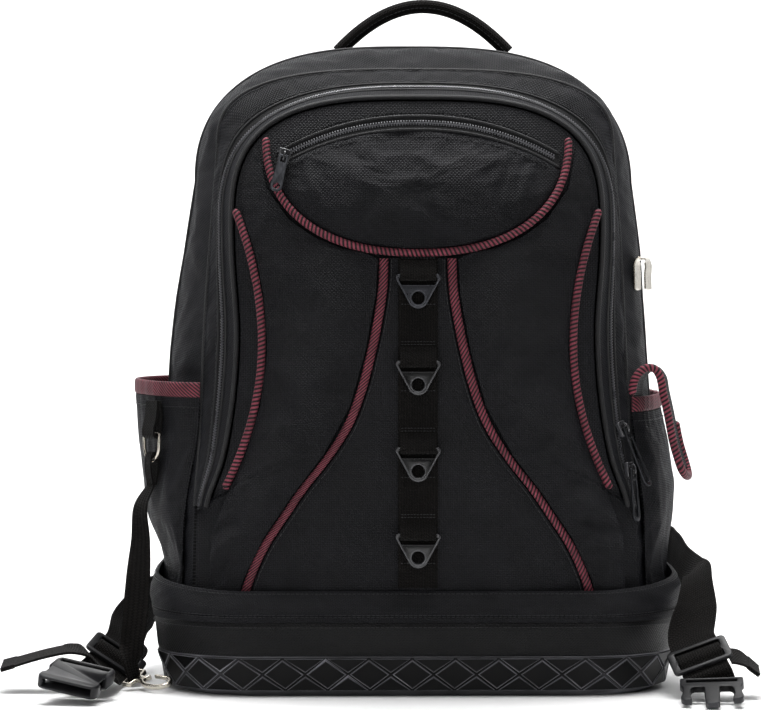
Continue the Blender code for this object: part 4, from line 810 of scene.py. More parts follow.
def panel_rim():
    low_side = np.linspace(PANEL_LOW, PANEL_SHOULDER, 12)
    depth = seam_depth("valley", low_side) - 0.0028
    side = np.column_stack([half_width("valley", low_side) - 0.0012, depth, low_side])
    arch = inward(seam_line("front", GUSSET_LOW, 150), 2 * PIPE + 0.0013)
    arch[:, 1] -= 0.001
    across = np.linspace(-0.97, 0.97, 50)
    sag = PANEL_BOTTOM_DEPTH + (side[0, 1] - PANEL_BOTTOM_DEPTH) * np.abs(across) ** 4
    bottom = np.column_stack([across * side[0, 0], sag, np.full(len(across), PANEL_LOW)])
    return np.concatenate([side, arch, side[::-1] * (-1, 1, 1), bottom])


RIM = panel_rim()
RIM_ANGLE = np.arctan2(RIM[:, 2] - PANEL_MIDDLE, RIM[:, 0])
RIM_ORDER = np.argsort(RIM_ANGLE)
RIM_RADIUS = np.hypot(RIM[:, 0], RIM[:, 2] - PANEL_MIDDLE)


def front_surface(x, z):
    """The depth of the front panel's face."""
    x, z = np.broadcast_arrays(np.asarray(x, float), np.asarray(z, float))
    angle = np.arctan2(z - PANEL_MIDDLE, x)
    reach = np.interp(angle, RIM_ANGLE[RIM_ORDER], RIM_RADIUS[RIM_ORDER], period=2 * math.pi)
    depth = np.interp(angle, RIM_ANGLE[RIM_ORDER], RIM[RIM_ORDER, 1], period=2 * math.pi)
    share = np.clip(np.hypot(x, z - PANEL_MIDDLE) / reach, 0.0, 1.0)
    return PANEL_CROWN + (depth - PANEL_CROWN) * share**PANEL_FALL


def on_front(x, z, lift):
    """Points on the front panel, raised by lift."""
    x, z, lift = np.broadcast_arrays(np.asarray(x, float), np.asarray(z, float), np.asarray(lift, float))
    return np.stack([x, front_surface(x, z) - lift, z], axis=-1)


def u_half(z):
    drop = np.clip((POCKET_RIM - np.asarray(z, float)) / POCKET_DROP, 0.0, 1.0)
    return POCKET_HALF * (1 - drop**POCKET_POWER) ** (1 / POCKET_POWER)


def u_curve(count, inset=0.0):
    """The pocket's U from its right end round the bottom to its left end."""
    turn = np.linspace(0.0, math.pi, 400)
    power = 2 / POCKET_POWER
    x = (POCKET_HALF - inset) * np.sign(np.cos(turn)) * np.abs(np.cos(turn)) ** power
    z = POCKET_RIM - (POCKET_DROP - inset) * np.sin(turn) ** power
    return evenly_flat(np.column_stack([x, z]), count)


def zip_height(x):
    return ZIP_TOP - ZIP_FALL * (np.abs(x) / ZIP_HALF_SPAN) ** 2.2


def strip_half(z):
    return through(STRIP_ROWS[:, 0], STRIP_ROWS[:, 1], z)


def pouch_edge(z):
    from_waist = np.asarray(z, float) - 0.255
    return 0.1128 + np.where(from_waist > 0, 2.07, 2.45) * from_waist**2


def rings_of(rim, middle, shares, count):
    """Points in rings from a rim to its middle, and the faces between them."""
    rim = evenly_flat(np.concatenate([rim, rim[:1]]), count)[:-1]
    flat = np.concatenate([middle + share * (rim - middle) for share in shares] + [np.array([middle])])
    index = np.arange(len(shares) * count).reshape(len(shares), count)
    index = np.concatenate([index, index[:, :1]], axis=1)
    around = np.stack([index[:-1, :-1], index[:-1, 1:], index[1:, 1:], index[1:, :-1]], axis=-1).reshape(-1, 4)
    last = np.stack([index[-1, :-1], index[-1, 1:], np.full(count, len(flat) - 1)], axis=-1)
    share_of = np.concatenate([np.repeat(shares, count), [0.0]])
    return flat, around.tolist() + last.tolist(), share_of, index[0]


def disc_wall(name, face, back, faces, border, finish):
    """A closed wall between a face made of rings and its back."""
    size = len(face)
    behind = [[corner + size for corner in reversed(each)] for each in faces]
    edge = [[here, after, after + size, here + size] for here, after in zip(border[:-1], border[1:])]
    both = np.concatenate([face, back])
    return piece(name, both, faces + behind + edge, both[:, [0, 2]], finish)


def depth_near(flat, depth, spots):
    """The depth of the nearest point of a face made of rings, at each spot."""
    return depth[[np.argmin(np.hypot(*(flat - spot).T)) for spot in spots]]


# Base


def plan(size, radius, count, phase=0.0):
    """A round-cornered plan from the middle of the front, an equal length apart."""
    half_wide, half_deep = size
    straight = [(0.0, -half_deep)]
    for turn, (sx, sy) in enumerate(((1, -1), (1, 1), (-1, 1), (-1, -1))):
        bend = radius if sy < 0 else radius * 0.45
        centre = (sx * (half_wide - bend), sy * (half_deep - bend))
        straight += arc(centre, bend, 90 * turn - 90, 90 * turn, 24)
    straight.append((0.0, -half_deep))
    line = evenly_flat(np.array(straight), 1440)
    shares = (np.arange(count) + phase) / count % 1.0
    return np.column_stack([np.interp(shares * 1440, np.arange(1441), line[:, axis]) for axis in (0, 1)])


def plan_ring(size, radius, count):
    flat = plan(size, radius, count)
    return np.concatenate([flat, flat[:1]])


def at_height(flat, height):
    return np.column_stack([flat, np.broadcast_to(height, len(flat))])


def moulded_tray():
    """The tray's wall of raised diamonds and triangles, with rounded edges."""
    low_plan, top_plan = (0.1852, 0.1102), (0.1918, 0.1125)
    count, phase = 36, 0.37
    posts = plan(low_plan, CORNER - 0.006, count, phase + 0.5)
    tops = plan(top_plan, CORNER, count, phase + 0.5)
    crossings = plan([(a + b) / 2 for a, b in zip(low_plan, top_plan)], CORNER - 0.003, count, phase)
    under = plan((0.1765, 0.1045), CORNER - 0.009, count, phase + 0.5)
    inner_low = plan([v - 0.0040 for v in low_plan], CORNER - 0.010, count, phase + 0.5)
    inner_top = plan([v - 0.0035 for v in top_plan], CORNER - 0.0035, count, phase + 0.5)
    shape = bmesh.new()
    rings = {}
    layers = (
        ("under", under, 0.0),
        ("low", posts, 0.0045),
        ("cross", crossings, 0.0164),
        ("high", tops, 0.0283),
        ("rim", tops, 0.0293),
        ("inner_rim", inner_top, 0.0293),
        ("inner_floor", inner_low, 0.004),
    )
    for word, flat, height in layers:
        rings[word] = [shape.verts.new(point) for point in at_height(flat, height)]
    pads = []
    joined = (("under", "low"), ("high", "rim"), ("rim", "inner_rim"), ("inner_rim", "inner_floor"))
    low, high, cross = rings["low"], rings["high"], rings["cross"]
    for here in range(count):
        after = (here + 1) % count
        pads.append(shape.faces.new((cross[here], low[here], cross[after], high[here])))
        pads.append(shape.faces.new((low[here], low[after], cross[after])))
        pads.append(shape.faces.new((cross[after], high[after], high[here])))
        for lower, upper in joined:
            quad = (rings[lower][here], rings[lower][after], rings[upper][after], rings[upper][here])
            shape.faces.new(quad)
    shape.faces.new(rings["under"])
    shape.faces.new(rings["inner_floor"])
    bmesh.ops.recalc_face_normals(shape, faces=shape.faces)
    bmesh.ops.inset_individual(shape, faces=pads, thickness=0.0010, depth=0.0)
    bmesh.ops.inset_individual(shape, faces=pads, thickness=0.0007, depth=0.0014)
    # a shallow dish in each pad
    bmesh.ops.inset_individual(shape, faces=pads, thickness=0.0009, depth=0.0)
    bmesh.ops.inset_individual(shape, faces=pads, thickness=0.0004, depth=-0.0004)
    mesh = bpy.data.meshes.new("moulded_tray")
    shape.to_mesh(mesh)
    shape.free()
    tray = shown("moulded_tray", mesh, RUBBER, 30)
    bevel = tray.modifiers.new("edges", "BEVEL")
    bevel.width = 0.00030
    bevel.segments = 2
    bevel.angle_limit = math.radians(25)
    tray.modifiers.new("faces", "WEIGHTED_NORMAL").keep_sharp = True
    applied(tray)
    return fit(tray, "base_tray")


def outward(grid):
    """Level directions away from the bag's middle."""
    return unit(grid * (1.0, 1.0, 0.0))


def coated_skirt():
    """The smooth coated band above the tray, with its seam."""
    steps = 420
    share = np.linspace(0.0, 1.0, 9)
    outer = []
    inner = []
    for part in share:
        wide = 0.1922 + 0.0023 * part
        deep = 0.1128 + 0.0020 * part
        height = 0.0297 + 0.0240 * part
        # tucked in under the cloth band above and over the tray below
        tuck = 0.0007 * (part > 0.93) + 0.0004 * (part < 0.06)
        outer.append(at_height(plan_ring((wide - tuck, deep - tuck), CORNER, steps), height))
        inner.append(at_height(plan_ring((wide - 0.003, deep - 0.003), CORNER - 0.003, steps), height))
    outer = np.array(outer)
    wave = ripple(outer * (1, 1, 0.5), 0.060, 0.0005, 3) * np.sin(math.pi * share)[:, None]
    outer = outer + outward(outer) * wave[:, :, None]
    skirt = wall("coated_skirt", outer, np.array(inner), COATED, closed=True)
    fit(skirt, "coated_band")
    seam = plan_ring((0.1949, 0.1152), CORNER, 700)
    fit(stitches("skirt_stitching", [(at_height(seam, 0.0505), at_height(seam, 0.0))]))


def side_share(flat):
    """0 at the front and 1 at the sides and back, for the lip's top edge."""
    return 1 - np.clip(-flat[:, 1] / 0.115, 0.0, 1.0) ** 1.5


LIP_LOW = 0.0541
LIP_SHARES = np.array((
    0.0, 0.05, 0.10, 0.15, 0.18, 0.21, 0.24, 0.28, 0.34, 0.42,
    0.50, 0.58, 0.66, 0.74, 0.82, 0.88, 0.93, 0.97, 1.0,
))
# the lip's stitched rows, and how far each stands off the cloth
LIP_SEAMS = ((4, 0.0002), (6, 0.0002), (16, 0.0001))


def cloth_lip():
    """The woven band that the bag stands in: folded over at its top edge, stitched above its lower edge."""
    steps = 520
    outer = []
    inner = []
    for part in LIP_SHARES:
        turned = max(0.0, (part - 0.86) / 0.14)
        seam = 0.0011 * math.exp(-(((part - 0.21) / 0.03) ** 2))
        off = 0.0019 * math.sin(math.pi * min(1.0, 0.08 + 0.92 * part)) - seam - 0.0018 * turned**2
        flat = plan_ring((0.1950 + off, 0.1150 + off), CORNER + off, steps)
        top = 0.0763 + 0.0122 * side_share(flat)
        height = LIP_LOW + part * (top - LIP_LOW)
        outer.append(at_height(flat, height))
        close = 0.003 + 0.0010 * part - 0.0006 * turned
        inner.append(at_height(plan_ring((0.1950 - close, 0.1150 - close), CORNER - close, steps), height))
    outer = np.array(outer)
    push = outward(outer)
    live = np.sin(math.pi * np.clip((LIP_SHARES - 0.25) / 0.75, 0.0, 1.0))[:, None]
    wave = ripple(outer * (1.0, 1.0, 2.2), 0.055, 0.0011, 11)
    wave = wave + ripple(outer * (1.0, 1.0, 3.5), 0.022, 0.0004, 12)
    lip = wall("cloth_lip", outer + push * (wave * live)[:, :, None], np.array(inner), NYLON, closed=True)
    fit(lip, "lip_band")
    lines = [(outer[row] + push[row] * lift, push[row]) for row, lift in LIP_SEAMS]
    fit(stitches("lip_stitching", lines))


# Front panel and what is sewn on it


def front_cloth():
    """The front panel's own cloth, mostly covered by what is sewn on it."""
    shares = np.concatenate([[1.0, 0.985, 0.965], np.linspace(0.94, 0.04, 26)])
    flat, faces, share, border = rings_of(RIM[:, [0, 2]], np.array((0.0, PANEL_MIDDLE)), shares, 400)
    points = on_front(flat[:, 0], flat[:, 1], 0.0)
    live = np.clip((1 - share) / 0.06, 0.0, 1.0)
    points[:, 1] -= (0.0008 + ripple(flat, 0.035, 0.0005, 21)) * live * np.clip(share * 6 - 4.2, 0.0, 1.0)
    made = disc_wall("front_panel_cloth", points, shifted(points, CLOTH), faces, border, NYLON)
    fit(made, "front_panel")


POUCH_HEIGHTS = (
    0.0605, 0.085, 0.115, 0.145, 0.175, 0.21, 0.25, 0.29,
    0.3160, 0.3195, 0.3245, 0.332, 0.345, 0.368, 0.397,
)
POUCH_SWELL = ((0.06, 0.001), (0.12, 0.007), (0.20, 0.006), (0.30, 0.002), (0.36, 0.0))
# folds in a pouch's lower corner: two ends (x, z) on the right side, half width and height
POUCH_FOLDS = {
    "left": (
        (0.158, 0.128, 0.128, 0.152, 0.0050, 0.0030),
        (0.156, 0.112, 0.132, 0.128, 0.0045, -0.0022),
        (0.152, 0.100, 0.134, 0.116, 0.0040, 0.0026),
        (0.149, 0.082, 0.136, 0.100, 0.0045, -0.0018),
        (0.120, 0.160, 0.094, 0.185, 0.0075, -0.0016),
        (0.072, 0.190, 0.088, 0.230, 0.0080, 0.0012),
    ),
    "right": (
        (0.154, 0.118, 0.122, 0.128, 0.0045, -0.0026),
        (0.152, 0.108, 0.128, 0.114, 0.0040, 0.0024),
        (0.146, 0.126, 0.118, 0.142, 0.0050, 0.0026),
        (0.148, 0.078, 0.137, 0.104, 0.0045, 0.0020),
        (0.112, 0.158, 0.090, 0.180, 0.0075, -0.0014),
        (0.128, 0.168, 0.104, 0.190, 0.0060, 0.0014),
    ),
}


def front_pouches():
    """The two flat pouches with their corner folds, and the striped cord up each outer edge."""
    knots = np.array(POUCH_HEIGHTS)
    past_pocket = u_half(knots + BINDING) + BINDING + 0.0022
    inner = np.maximum(strip_half(knots) + STRIP_WIDTH / 2, past_pocket) + 0.0008
    mouth = np.minimum(pouch_edge(knots) - BINDING - 0.0012, half_width("valley", knots) - 0.006)
    outer = np.minimum(mouth, half_width("front", knots) - 0.0085)
    heights = np.linspace(knots[0], knots[-1], 150)
    share = 0.5 - 0.5 * np.cos(np.linspace(0.0, math.pi, 44))
    inner = np.interp(heights, knots, inner)
    outer = np.interp(heights, knots, outer)
    x = inner[:, None] + share * (outer - inner)[:, None]
    z = np.repeat(heights[:, None], len(share), axis=1)
    swell = np.interp(heights, *np.transpose(POUCH_SWELL))[:, None]
    for word, side in SIDES.items():
        lift = LIFT + CLOTH + 0.0006 + 0.85 * swell * np.sin(math.pi * share) ** 0.8
        live = np.clip(np.minimum(share, 1 - share) * 9, 0.0, 1.0) * np.clip((z - 0.062) / 0.01, 0.0, 1.0)
        lift = lift + creases(x, z, POUCH_FOLDS[word]) * live
        lift = lift + ripple(np.stack([x, z], axis=-1), 0.05, 0.0005, 31 + side) * live
        grid = on_front(side * x, z, lift)
        if side < 0:
            grid = grid[:, ::-1]
        grid = settled_grid(grid, 1.6, 0.006, 0.0045)
        made = wall(f"{word}_pouch_cloth", grid, shifted(grid, CLOTH), NYLON, flat=True)
        fit(made, f"{word}_front_pouch")
        z_line = np.linspace(0.1500, 0.353, 140)
        line = on_front(side * pouch_edge(z_line), z_line, BINDING + LIFT + 0.0008)
        made = sweep(f"{word}_pouch_cord", line, (0, 1, 0), circle(BINDING, 16), STRIPED, ends=0.003)
        fit(made, f"{word}_pouch_piping")


def centre_strips():
    """The two striped strips down the front, a row of stitching beside each, and the cloth between them."""
    heights = np.linspace(0.0605, 0.3165, 170)
    turn = np.linspace(0.0, math.pi, 13)
    half = STRIP_WIDTH / 2 - 0.0004
    middle = strip_half(heights)
    lean = 1 / np.sqrt(1 + np.gradient(middle, heights) ** 2)
    length = lengths(np.column_stack([middle, heights]))
    x = middle[:, None] - half * np.cos(turn)
    z = np.repeat(heights[:, None], len(turn), axis=1)
    lift = LIFT + 0.0002 + (STRIP_THICK + 0.0004) * np.sin(turn) ** 0.75
    for word, side in SIDES.items():
        made = wall(f"{word}_strip_tape", on_front(side * x, z, lift), on_front(side * x, z, LIFT), STRIPED)
        # stripes run along the strip: swap the two thread directions
        corners = np.empty(len(made.data.loops), int)
        made.data.loops.foreach_get("vertex_index", corners)
        across = -half * np.cos(turn)
        threads = np.stack(np.broadcast_arrays(length[:, None], across[None, :]), axis=-1).reshape(-1, 2)
        threads = np.tile(threads * (1, side), (2, 1))
        made.data.uv_layers[THREADS].uv.foreach_set("vector", threads[corners].astype(np.float32).ravel())
        fit(made, f"{word}_centre_strip")
        row = on_front(side * (middle - (half + 0.0022) / lean), heights, LIFT + 0.0019)
        fit(stitches(f"{word}_strip_stitching", [(row, (0, -1, 0))]))
    knots = np.linspace(0.0605, 0.3165, 90)
    share = np.linspace(-1.0, 1.0, 72)
    x = share * (strip_half(knots) - STRIP_WIDTH / 2 - 0.0009)[:, None]
    z = np.repeat(knots[:, None], len(share), axis=1)
    live = np.clip((1 - np.abs(share)) * 8, 0.0, 1.0)
    lift = LIFT + 0.0015 + (0.0006 + ripple(np.stack([x, z], axis=-1), 0.045, 0.0006, 41)) * live
    made = wall("centre_cloth", on_front(x, z, lift), on_front(x, z, LIFT), NYLON, flat=True)
    fit(made, "centre_panel")


# folds in the top pocket, in the same form as a pouch's
POCKET_FOLDS = (
    (-0.062, 0.346, -0.050, 0.330, 0.0045, -0.0022),
    (-0.078, 0.372, -0.060, 0.340, 0.0050, 0.0018),
    (0.066, 0.344, 0.052, 0.330, 0.0045, -0.0022),
    (0.080, 0.376, 0.066, 0.340, 0.0050, 0.0020),
    (0.070, 0.392, 0.058, 0.362, 0.0040, -0.0012),
    (-0.040, 0.398, -0.046, 0.350, 0.0060, 0.0010),
    (0.020, 0.352, 0.056, 0.346, 0.0060, 0.0012),
    (-0.050, 0.342, 0.000, 0.336, 0.0070, 0.0010),
)


def top_pocket():
    """The bulging pocket with its curved zip above it and the striped cord round its U."""
    across = np.linspace(0.0980, -0.0980, 120)
    upper = np.column_stack([across, zip_height(across) - ZIP_TAPE - 0.0004])
    lower = u_curve(260, BINDING + 0.0004)
    lower = lower[lower[:, 1] < upper[0, 1] - 0.004][::-1]
    rim = np.concatenate([upper, lower])
    shares = np.linspace(1.0, 0.05, 40)
    flat, faces, share, border = rings_of(rim, np.array((0.0, POCKET_MIDDLE)), shares, 300)
    live = np.clip((1 - share) * 7, 0.0, 1.0)
    bulge = 0.0120 * (1 - share**2) ** 0.8
    bulge = bulge + (creases(flat[:, 0], flat[:, 1], POCKET_FOLDS) + ripple(flat, 0.032, 0.0005, 51)) * live
    points = on_front(flat[:, 0], flat[:, 1], LIFT + CLOTH + bulge)
    points = settled(points, faces, share > 0.985, 1.6, 0.005, 0.0028)
    made = disc_wall("top_pocket_cloth", points, shifted(points, CLOTH), faces, border, NYLON)
    fit(made, "top_pocket")
    along = np.linspace(-ZIP_HALF_SPAN, ZIP_HALF_SPAN, 160)
    rows = np.linspace(-ZIP_TAPE, ZIP_TAPE, 9)
    z = zip_height(along) + rows[:, None]
    lip = LIFT + CLOTH + 0.0006 * np.exp(-(((np.abs(rows) - 0.0042) / 0.0012) ** 2))[:, None]
    tape = wall("pocket_zip_tape", on_front(along, z, lip), on_front(along, z, LIFT), TAPE)
    fit(tape, "top_pocket_zipper")
    line = on_front(along[6:-3], zip_height(along[6:-3]), LIFT + CLOTH + 0.0001)
    fit(coil("pocket_zip_coil", line, np.array((0.0, -1.0, 0.0))))
    for word, rise in (("lower", -0.0050), ("upper", 0.0050)):
        fold = on_front(along, zip_height(along) + rise, LIFT + CLOTH + 0.0003)
        made = sweep(f"pocket_zip_{word}_fold", fold, (0, 1, 0), circle(0.0011, 10), PIPING, ends=0.002)
        fit(made)
    line = u_curve(320)
    line = on_front(line[:, 0], line[:, 1], BINDING + LIFT)
    made = sweep("pocket_cord", line, (0, 1, 0), circle(BINDING, 16), STRIPED, ends=0.003)
    fit(made, "top_pocket_binding")
    below = across * 0.96
    spots = np.column_stack([below, zip_height(below) - 0.0098])
    lower_row = np.insert(spots, 1, depth_near(flat, points[:, 1], spots) - 0.0001, axis=1)
    upper_row = on_front(along * 0.98, zip_height(along) + 0.0085, 0.0010)
    rows = [(lower_row, (0, -1, 0)), (upper_row, (0, -1, 0))]
    fit(stitches("pocket_stitching", rows))


# Compartments


def band_between(name, lines, count, node, pressure, slack, cap, rough, seed):
    """A cloth band between seams, let settle between them. Gives its outer face."""
    outer = bowed(*lines, count)
    live = np.sin(math.pi * np.linspace(0.0, 1.0, count))[:, None]
    wave = ripple(outer, 0.040, rough, seed) + ripple(outer, 0.018, 0.35 * rough, seed + 1)
    normal = thickened(outer, 1.0) - outer
    puffed = outer - normal * (wave * live)[:, :, None]
    puffed = settled_grid(puffed[::-1], pressure, slack, cap)[::-1]
    inner = puffed + (np.array([inward(line, CLOTH) for line in outer]) - outer)
    fit(wall(name, puffed, inner, NYLON), node)
    return puffed


def zip_round(word, edges, middle, out, folds, radius, lift):
    """Zip tape between two edges, the coil along its middle, and the folded lips beside it."""
    outer = bowed(edges[0], middle, edges[1], 9)
    inner = np.array([inward(line, CLOTH) for line in outer])
    fit(wall(f"{word}_zip_tape", outer, inner, TAPE), f"{word}_zipper")
    fit(coil(f"{word}_zip_coil", middle + out * 0.0001, out))
    for name, line in folds.items():
        made = sweep(f"{word}_zip_{name}_fold", line + out * lift, (0, 1, 0), circle(radius, 10), PIPING)
        fit(made)


def front_compartment():
    """Piping, zip and gusset of the front compartment, from the front panel back to the valley seam."""
    front, zipper, valley = (seam_line(seam, ZIP_TUCK, 420) for seam in ("front", "zip", "valley"))
    before = front + 0.66 * (zipper - front)
    after = zipper + 0.22 * (valley - zipper)
    puffed = inward(zipper + 0.6 * (valley - zipper), -0.0015)
    made = sweep("front_cord", inward(front, PIPE), (0, 1, 0), circle(PIPE, 14), PIPING)
    fit(made, "front_piping")
    first = shifted(front, PIPE + 0.0002)
    last = shifted(before, -0.0002)
    lines = [first, 0.5 * (first + last), last]
    band_between("front_zip_cloth", lines, 7, "front_zip_band", 0.5, 0.0, 0.001, 0.0002, 61)
    out = unit(-np.cross(np.gradient(zipper, axis=0), after - before))
    edges = (shifted(before, 0.0002), shifted(after, -0.0002))
    zip_round("front", edges, zipper, out, {"inner": before, "outer": after}, 0.0010, 0.0002)
    lines = [shifted(after, 0.0002), puffed, shifted(valley, -0.0009)]
    grid = band_between("front_gusset_cloth", lines, 22, "front_gusset", 1.4, 0.004, 0.0022, 0.0007, 63)
    line = inward(shifted(valley, -0.0006), 0.0002)
    fit(sweep("valley_cord", line, (0, 1, 0), circle(0.0014, 12), PIPING))
    rows = []
    for line in (grid[2], grid[-4]):
        normal = unit(np.column_stack([line[:, 0], np.full(len(line), -0.12), line[:, 2] - 0.24]))
        rows.append((line + normal * 0.0001, normal))
    fit(stitches("gusset_stitching", rows))


def rear_compartment():
    """Two cloth bands of the rear compartment with the zip between them, and the cord round the back."""
    valley, rear, back = (seam_line(seam, CLOTH_LOW, 460) for seam in ("valley", "rear", "back"))
    puffed = valley + 0.62 * (rear - valley)
    puffed[:, 1] = valley[:, 1] + 0.34 * (rear[:, 1] - valley[:, 1])
    tape = 0.005
    lines = [shifted(valley, 0.0002), puffed, shifted(rear, -tape - 0.0002)]
    band_between("rear_front_cloth", lines, 24, "rear_band_front", 1.0, 0.003, 0.0022, 0.0011, 71)
    edges = (shifted(rear, -tape), shifted(rear, tape))
    folds = dict(zip(("front", "back"), edges))
    zip_round("rear", edges, rear, inward(rear, -1.0) - rear, folds, 0.0012, 0.0003)
    middle = inward(rear + 0.5 * (back - rear), -0.002)
    lines = [shifted(rear, tape + 0.0002), middle, shifted(back, -0.0002)]
    band_between("rear_back_cloth", lines, 34, "rear_band_back", 1.0, 0.003, 0.0025, 0.0012, 73)
    line = inward(shifted(back, 0.0002), 0.0004)
    fit(sweep("back_cord", line, (0, 1, 0), circle(0.0022, 12), PIPING))


BACK_FRONT = 0.0922
BACK_EDGE = 0.0045
BACK_FULL = 0.0125
CHANNEL_HEIGHTS = (0.118, 0.212, 0.306, 0.400)


def channel_height(height, x):
    """A sewn channel's height across the back: it rises a little to both sides."""
    return height + 0.010 * (np.abs(x) / 0.15) ** 2


def padded_back():
    """The mesh-covered back: two columns of pads, a spine channel and a lumbar pad between sewn lines."""
    rim = seam_line("back", CLOTH_LOW, 360)[:, [0, 2]]
    shares = np.concatenate([[1.0, 0.99, 0.975, 0.955, 0.93], np.linspace(0.90, 0.02, 46)])
    flat, faces, share, border = rings_of(rim, np.array((0.0, 0.26)), shares, 420)
    x, z = flat.T
    edge = BACK_EDGE + (BACK_FULL - BACK_EDGE) * np.clip((1 - share) / 0.10, 0.0, 1.0) ** 0.5
    spine = np.clip((z - 0.115) / 0.02, 0, 1) * np.clip((0.43 - z) / 0.02, 0, 1)
    grooves = [0.0048 * np.exp(-((x / 0.0115) ** 4)) * spine]
    for height in CHANNEL_HEIGHTS:
        dip = 0.0044 * np.exp(-(((z - channel_height(height, x)) / 0.0055) ** 2))
        grooves.append(dip * np.clip((0.150 - np.abs(x)) / 0.02, 0, 1))
    for side in SIDES.values():
        dip = 0.0040 * np.exp(-(((x - side * 0.138) / 0.0050) ** 2))
        grooves.append(dip * np.clip((0.42 - z) / 0.03, 0, 1))
    depth = BACK_FRONT + edge - np.max(grooves, axis=0) - 0.0003 - np.abs(ripple(flat, 0.03, 0.0004, 81))
    outer = np.column_stack([x, depth, z])
    inner = np.column_stack([x, np.full(len(x), BACK_FRONT), z])
    made = disc_wall("padded_back_mesh", outer, inner, faces, border, MESH)
    fit(made, "back_panel")
    across = np.linspace(-0.128, 0.128, 160)
    rows = []
    for height in CHANNEL_HEIGHTS:
        spots = np.column_stack([across, channel_height(height, across)])
        rows.append((np.insert(spots, 1, depth_near(flat, depth, spots) + 0.0002, axis=1), (0, 1, 0)))
    fit(stitches("back_stitching", rows))


# Ladder webbing and rings

CENTRE_LIFT = LIFT + 0.0015 + 0.0004
LOOP_BACK = 0.0041
LOOP_PROFILE = (
    (0.0038, 0.0000),
    (0.0032, -0.0022),
    (0.0019, -0.0033),
    (0.0000, -0.0038),
    (-0.0019, -0.0033),
    (-0.0032, -0.0022),
    (-LOOP_BACK, 0.0000),
    (-LOOP_BACK, 0.0040),
    (-LOOP_BACK, 0.0090),
    (-0.0030, 0.0115),
    (-0.0005, 0.0072),
    (0.0022, 0.0038),
)


def ladder():
    heights = np.linspace(0.079, 0.3165, 130)
    face = front_surface(0.0 * heights, heights)
    line = np.column_stack([0 * heights, face - CENTRE_LIFT - 0.0009, heights])
    rows = np.column_stack([line, np.tile((1.0, 0.0, 0.0, 0.0288), (len(line), 1))])
    strap = ribbon("ladder_strap", rows, 0.0016, WEBBING)
    fit(strap, "ladder_webbing")
    tacks = []
    for number in range(4):
        height = 0.3040 - number * 0.0622
        front = float(front_surface(0.0, height)) - CENTRE_LIFT - 0.0016
        axis = np.array((0.0, front - LOOP_BACK + 0.0008, height))
        profile = np.array(LOOP_PROFILE)
        closed = np.concatenate([profile, profile[:1]])
        smooth = route(np.column_stack([closed, np.zeros(len(closed))]), 40)[:-1, :2]
        turn = np.arctan2(smooth[:, 1], smooth[:, 0])
        hole = np.column_stack([np.cos(turn), np.sin(turn)]) * 0.0023
        grids = []
        for outline in (smooth, hole):
            columns = []
            for across in np.linspace(-0.013, 0.013, 15):
                rounded_end = 1 - 0.10 * (abs(across) / 0.013) ** 8
                ring = [axis + (across, -forward * rounded_end, rise) for forward, rise in outline]
                columns.append(np.array(ring + ring[:1]))
            grids.append(np.array(columns))
        loop = wall(f"ladder_loop_{number + 1}", grids[0], grids[1], WEBBING, closed=True)
        fit(loop)
        for rise in (0.0128, 0.0148, -0.0205):
            z = height + rise
            y = float(front_surface(0.0, z)) - CENTRE_LIFT - 0.0017
            tacks.append((np.array([(x, y, z) for x in np.linspace(-0.0125, 0.0125, 12)]), (0, -1, 0)))
        outline = arc((0.0137, -0.0013), 0.0025, 90, -30, 9)
        outline += arc((0.0, -0.0160), 0.0076, -32, -148, 25)
        outline += arc((-0.0137, -0.0013), 0.0025, 210, 90, 9)
        holes = [
            rounded(0.0137, 0.00275, 0.0012, (0.0, -0.00395), 5),
            arc((0.0, -0.0160), 0.0045, 0, 350, 36),
        ]
        finish = GUNMETAL if number == 0 else BLACK_STEEL
        ring = plate(f"ring_{number + 1}_plate", [outline, *holes], 0.0026, 0.0006, finish, 50)
        beads = []
        for word, bead in (("rim", outline), ("eye", arc((0.0, -0.0160), 0.0053, 0, 350, 36))):
            path = np.array([(x, -0.0012, z) for x, z in bead])
            if word == "rim":
                path[:, [0, 2]] += ((0.0, -0.008) - path[:, [0, 2]]) * 0.07
            beads.append(sweep(f"bead_{word}", path, (0, 1, 0), circle(0.0006, 8), finish, closed=True))
        united(ring, *beads)
        place(ring, axis, (1, 0, 0), (0, 0, 1))
        fit(ring, f"ring_{number + 1}", f"ring_{number + 1}")
    fit(stitches("ladder_stitching", tacks, pitch=0.0022))


# Zip sliders and pulls

BAIL_SEAT = 0.0038
BAIL_AXIS = 0.0054
BAIL_ROWS = (
    (0.0032, 0.0034),
    (0.0058, 0.0034),
    (0.0072, 0.0022),
    (0.0076, 0.0000),
    (0.0072, -0.0022),
    (0.0058, -0.0034),
    (0.0032, -0.0034),
)
SIDE_SLIDERS = {
    "upper": (0.1920, 0.046, (-0.37, 0.08, 0.925)),
    "lower": (0.1630, 0.038, (-0.06, 0.12, 0.990)),
}


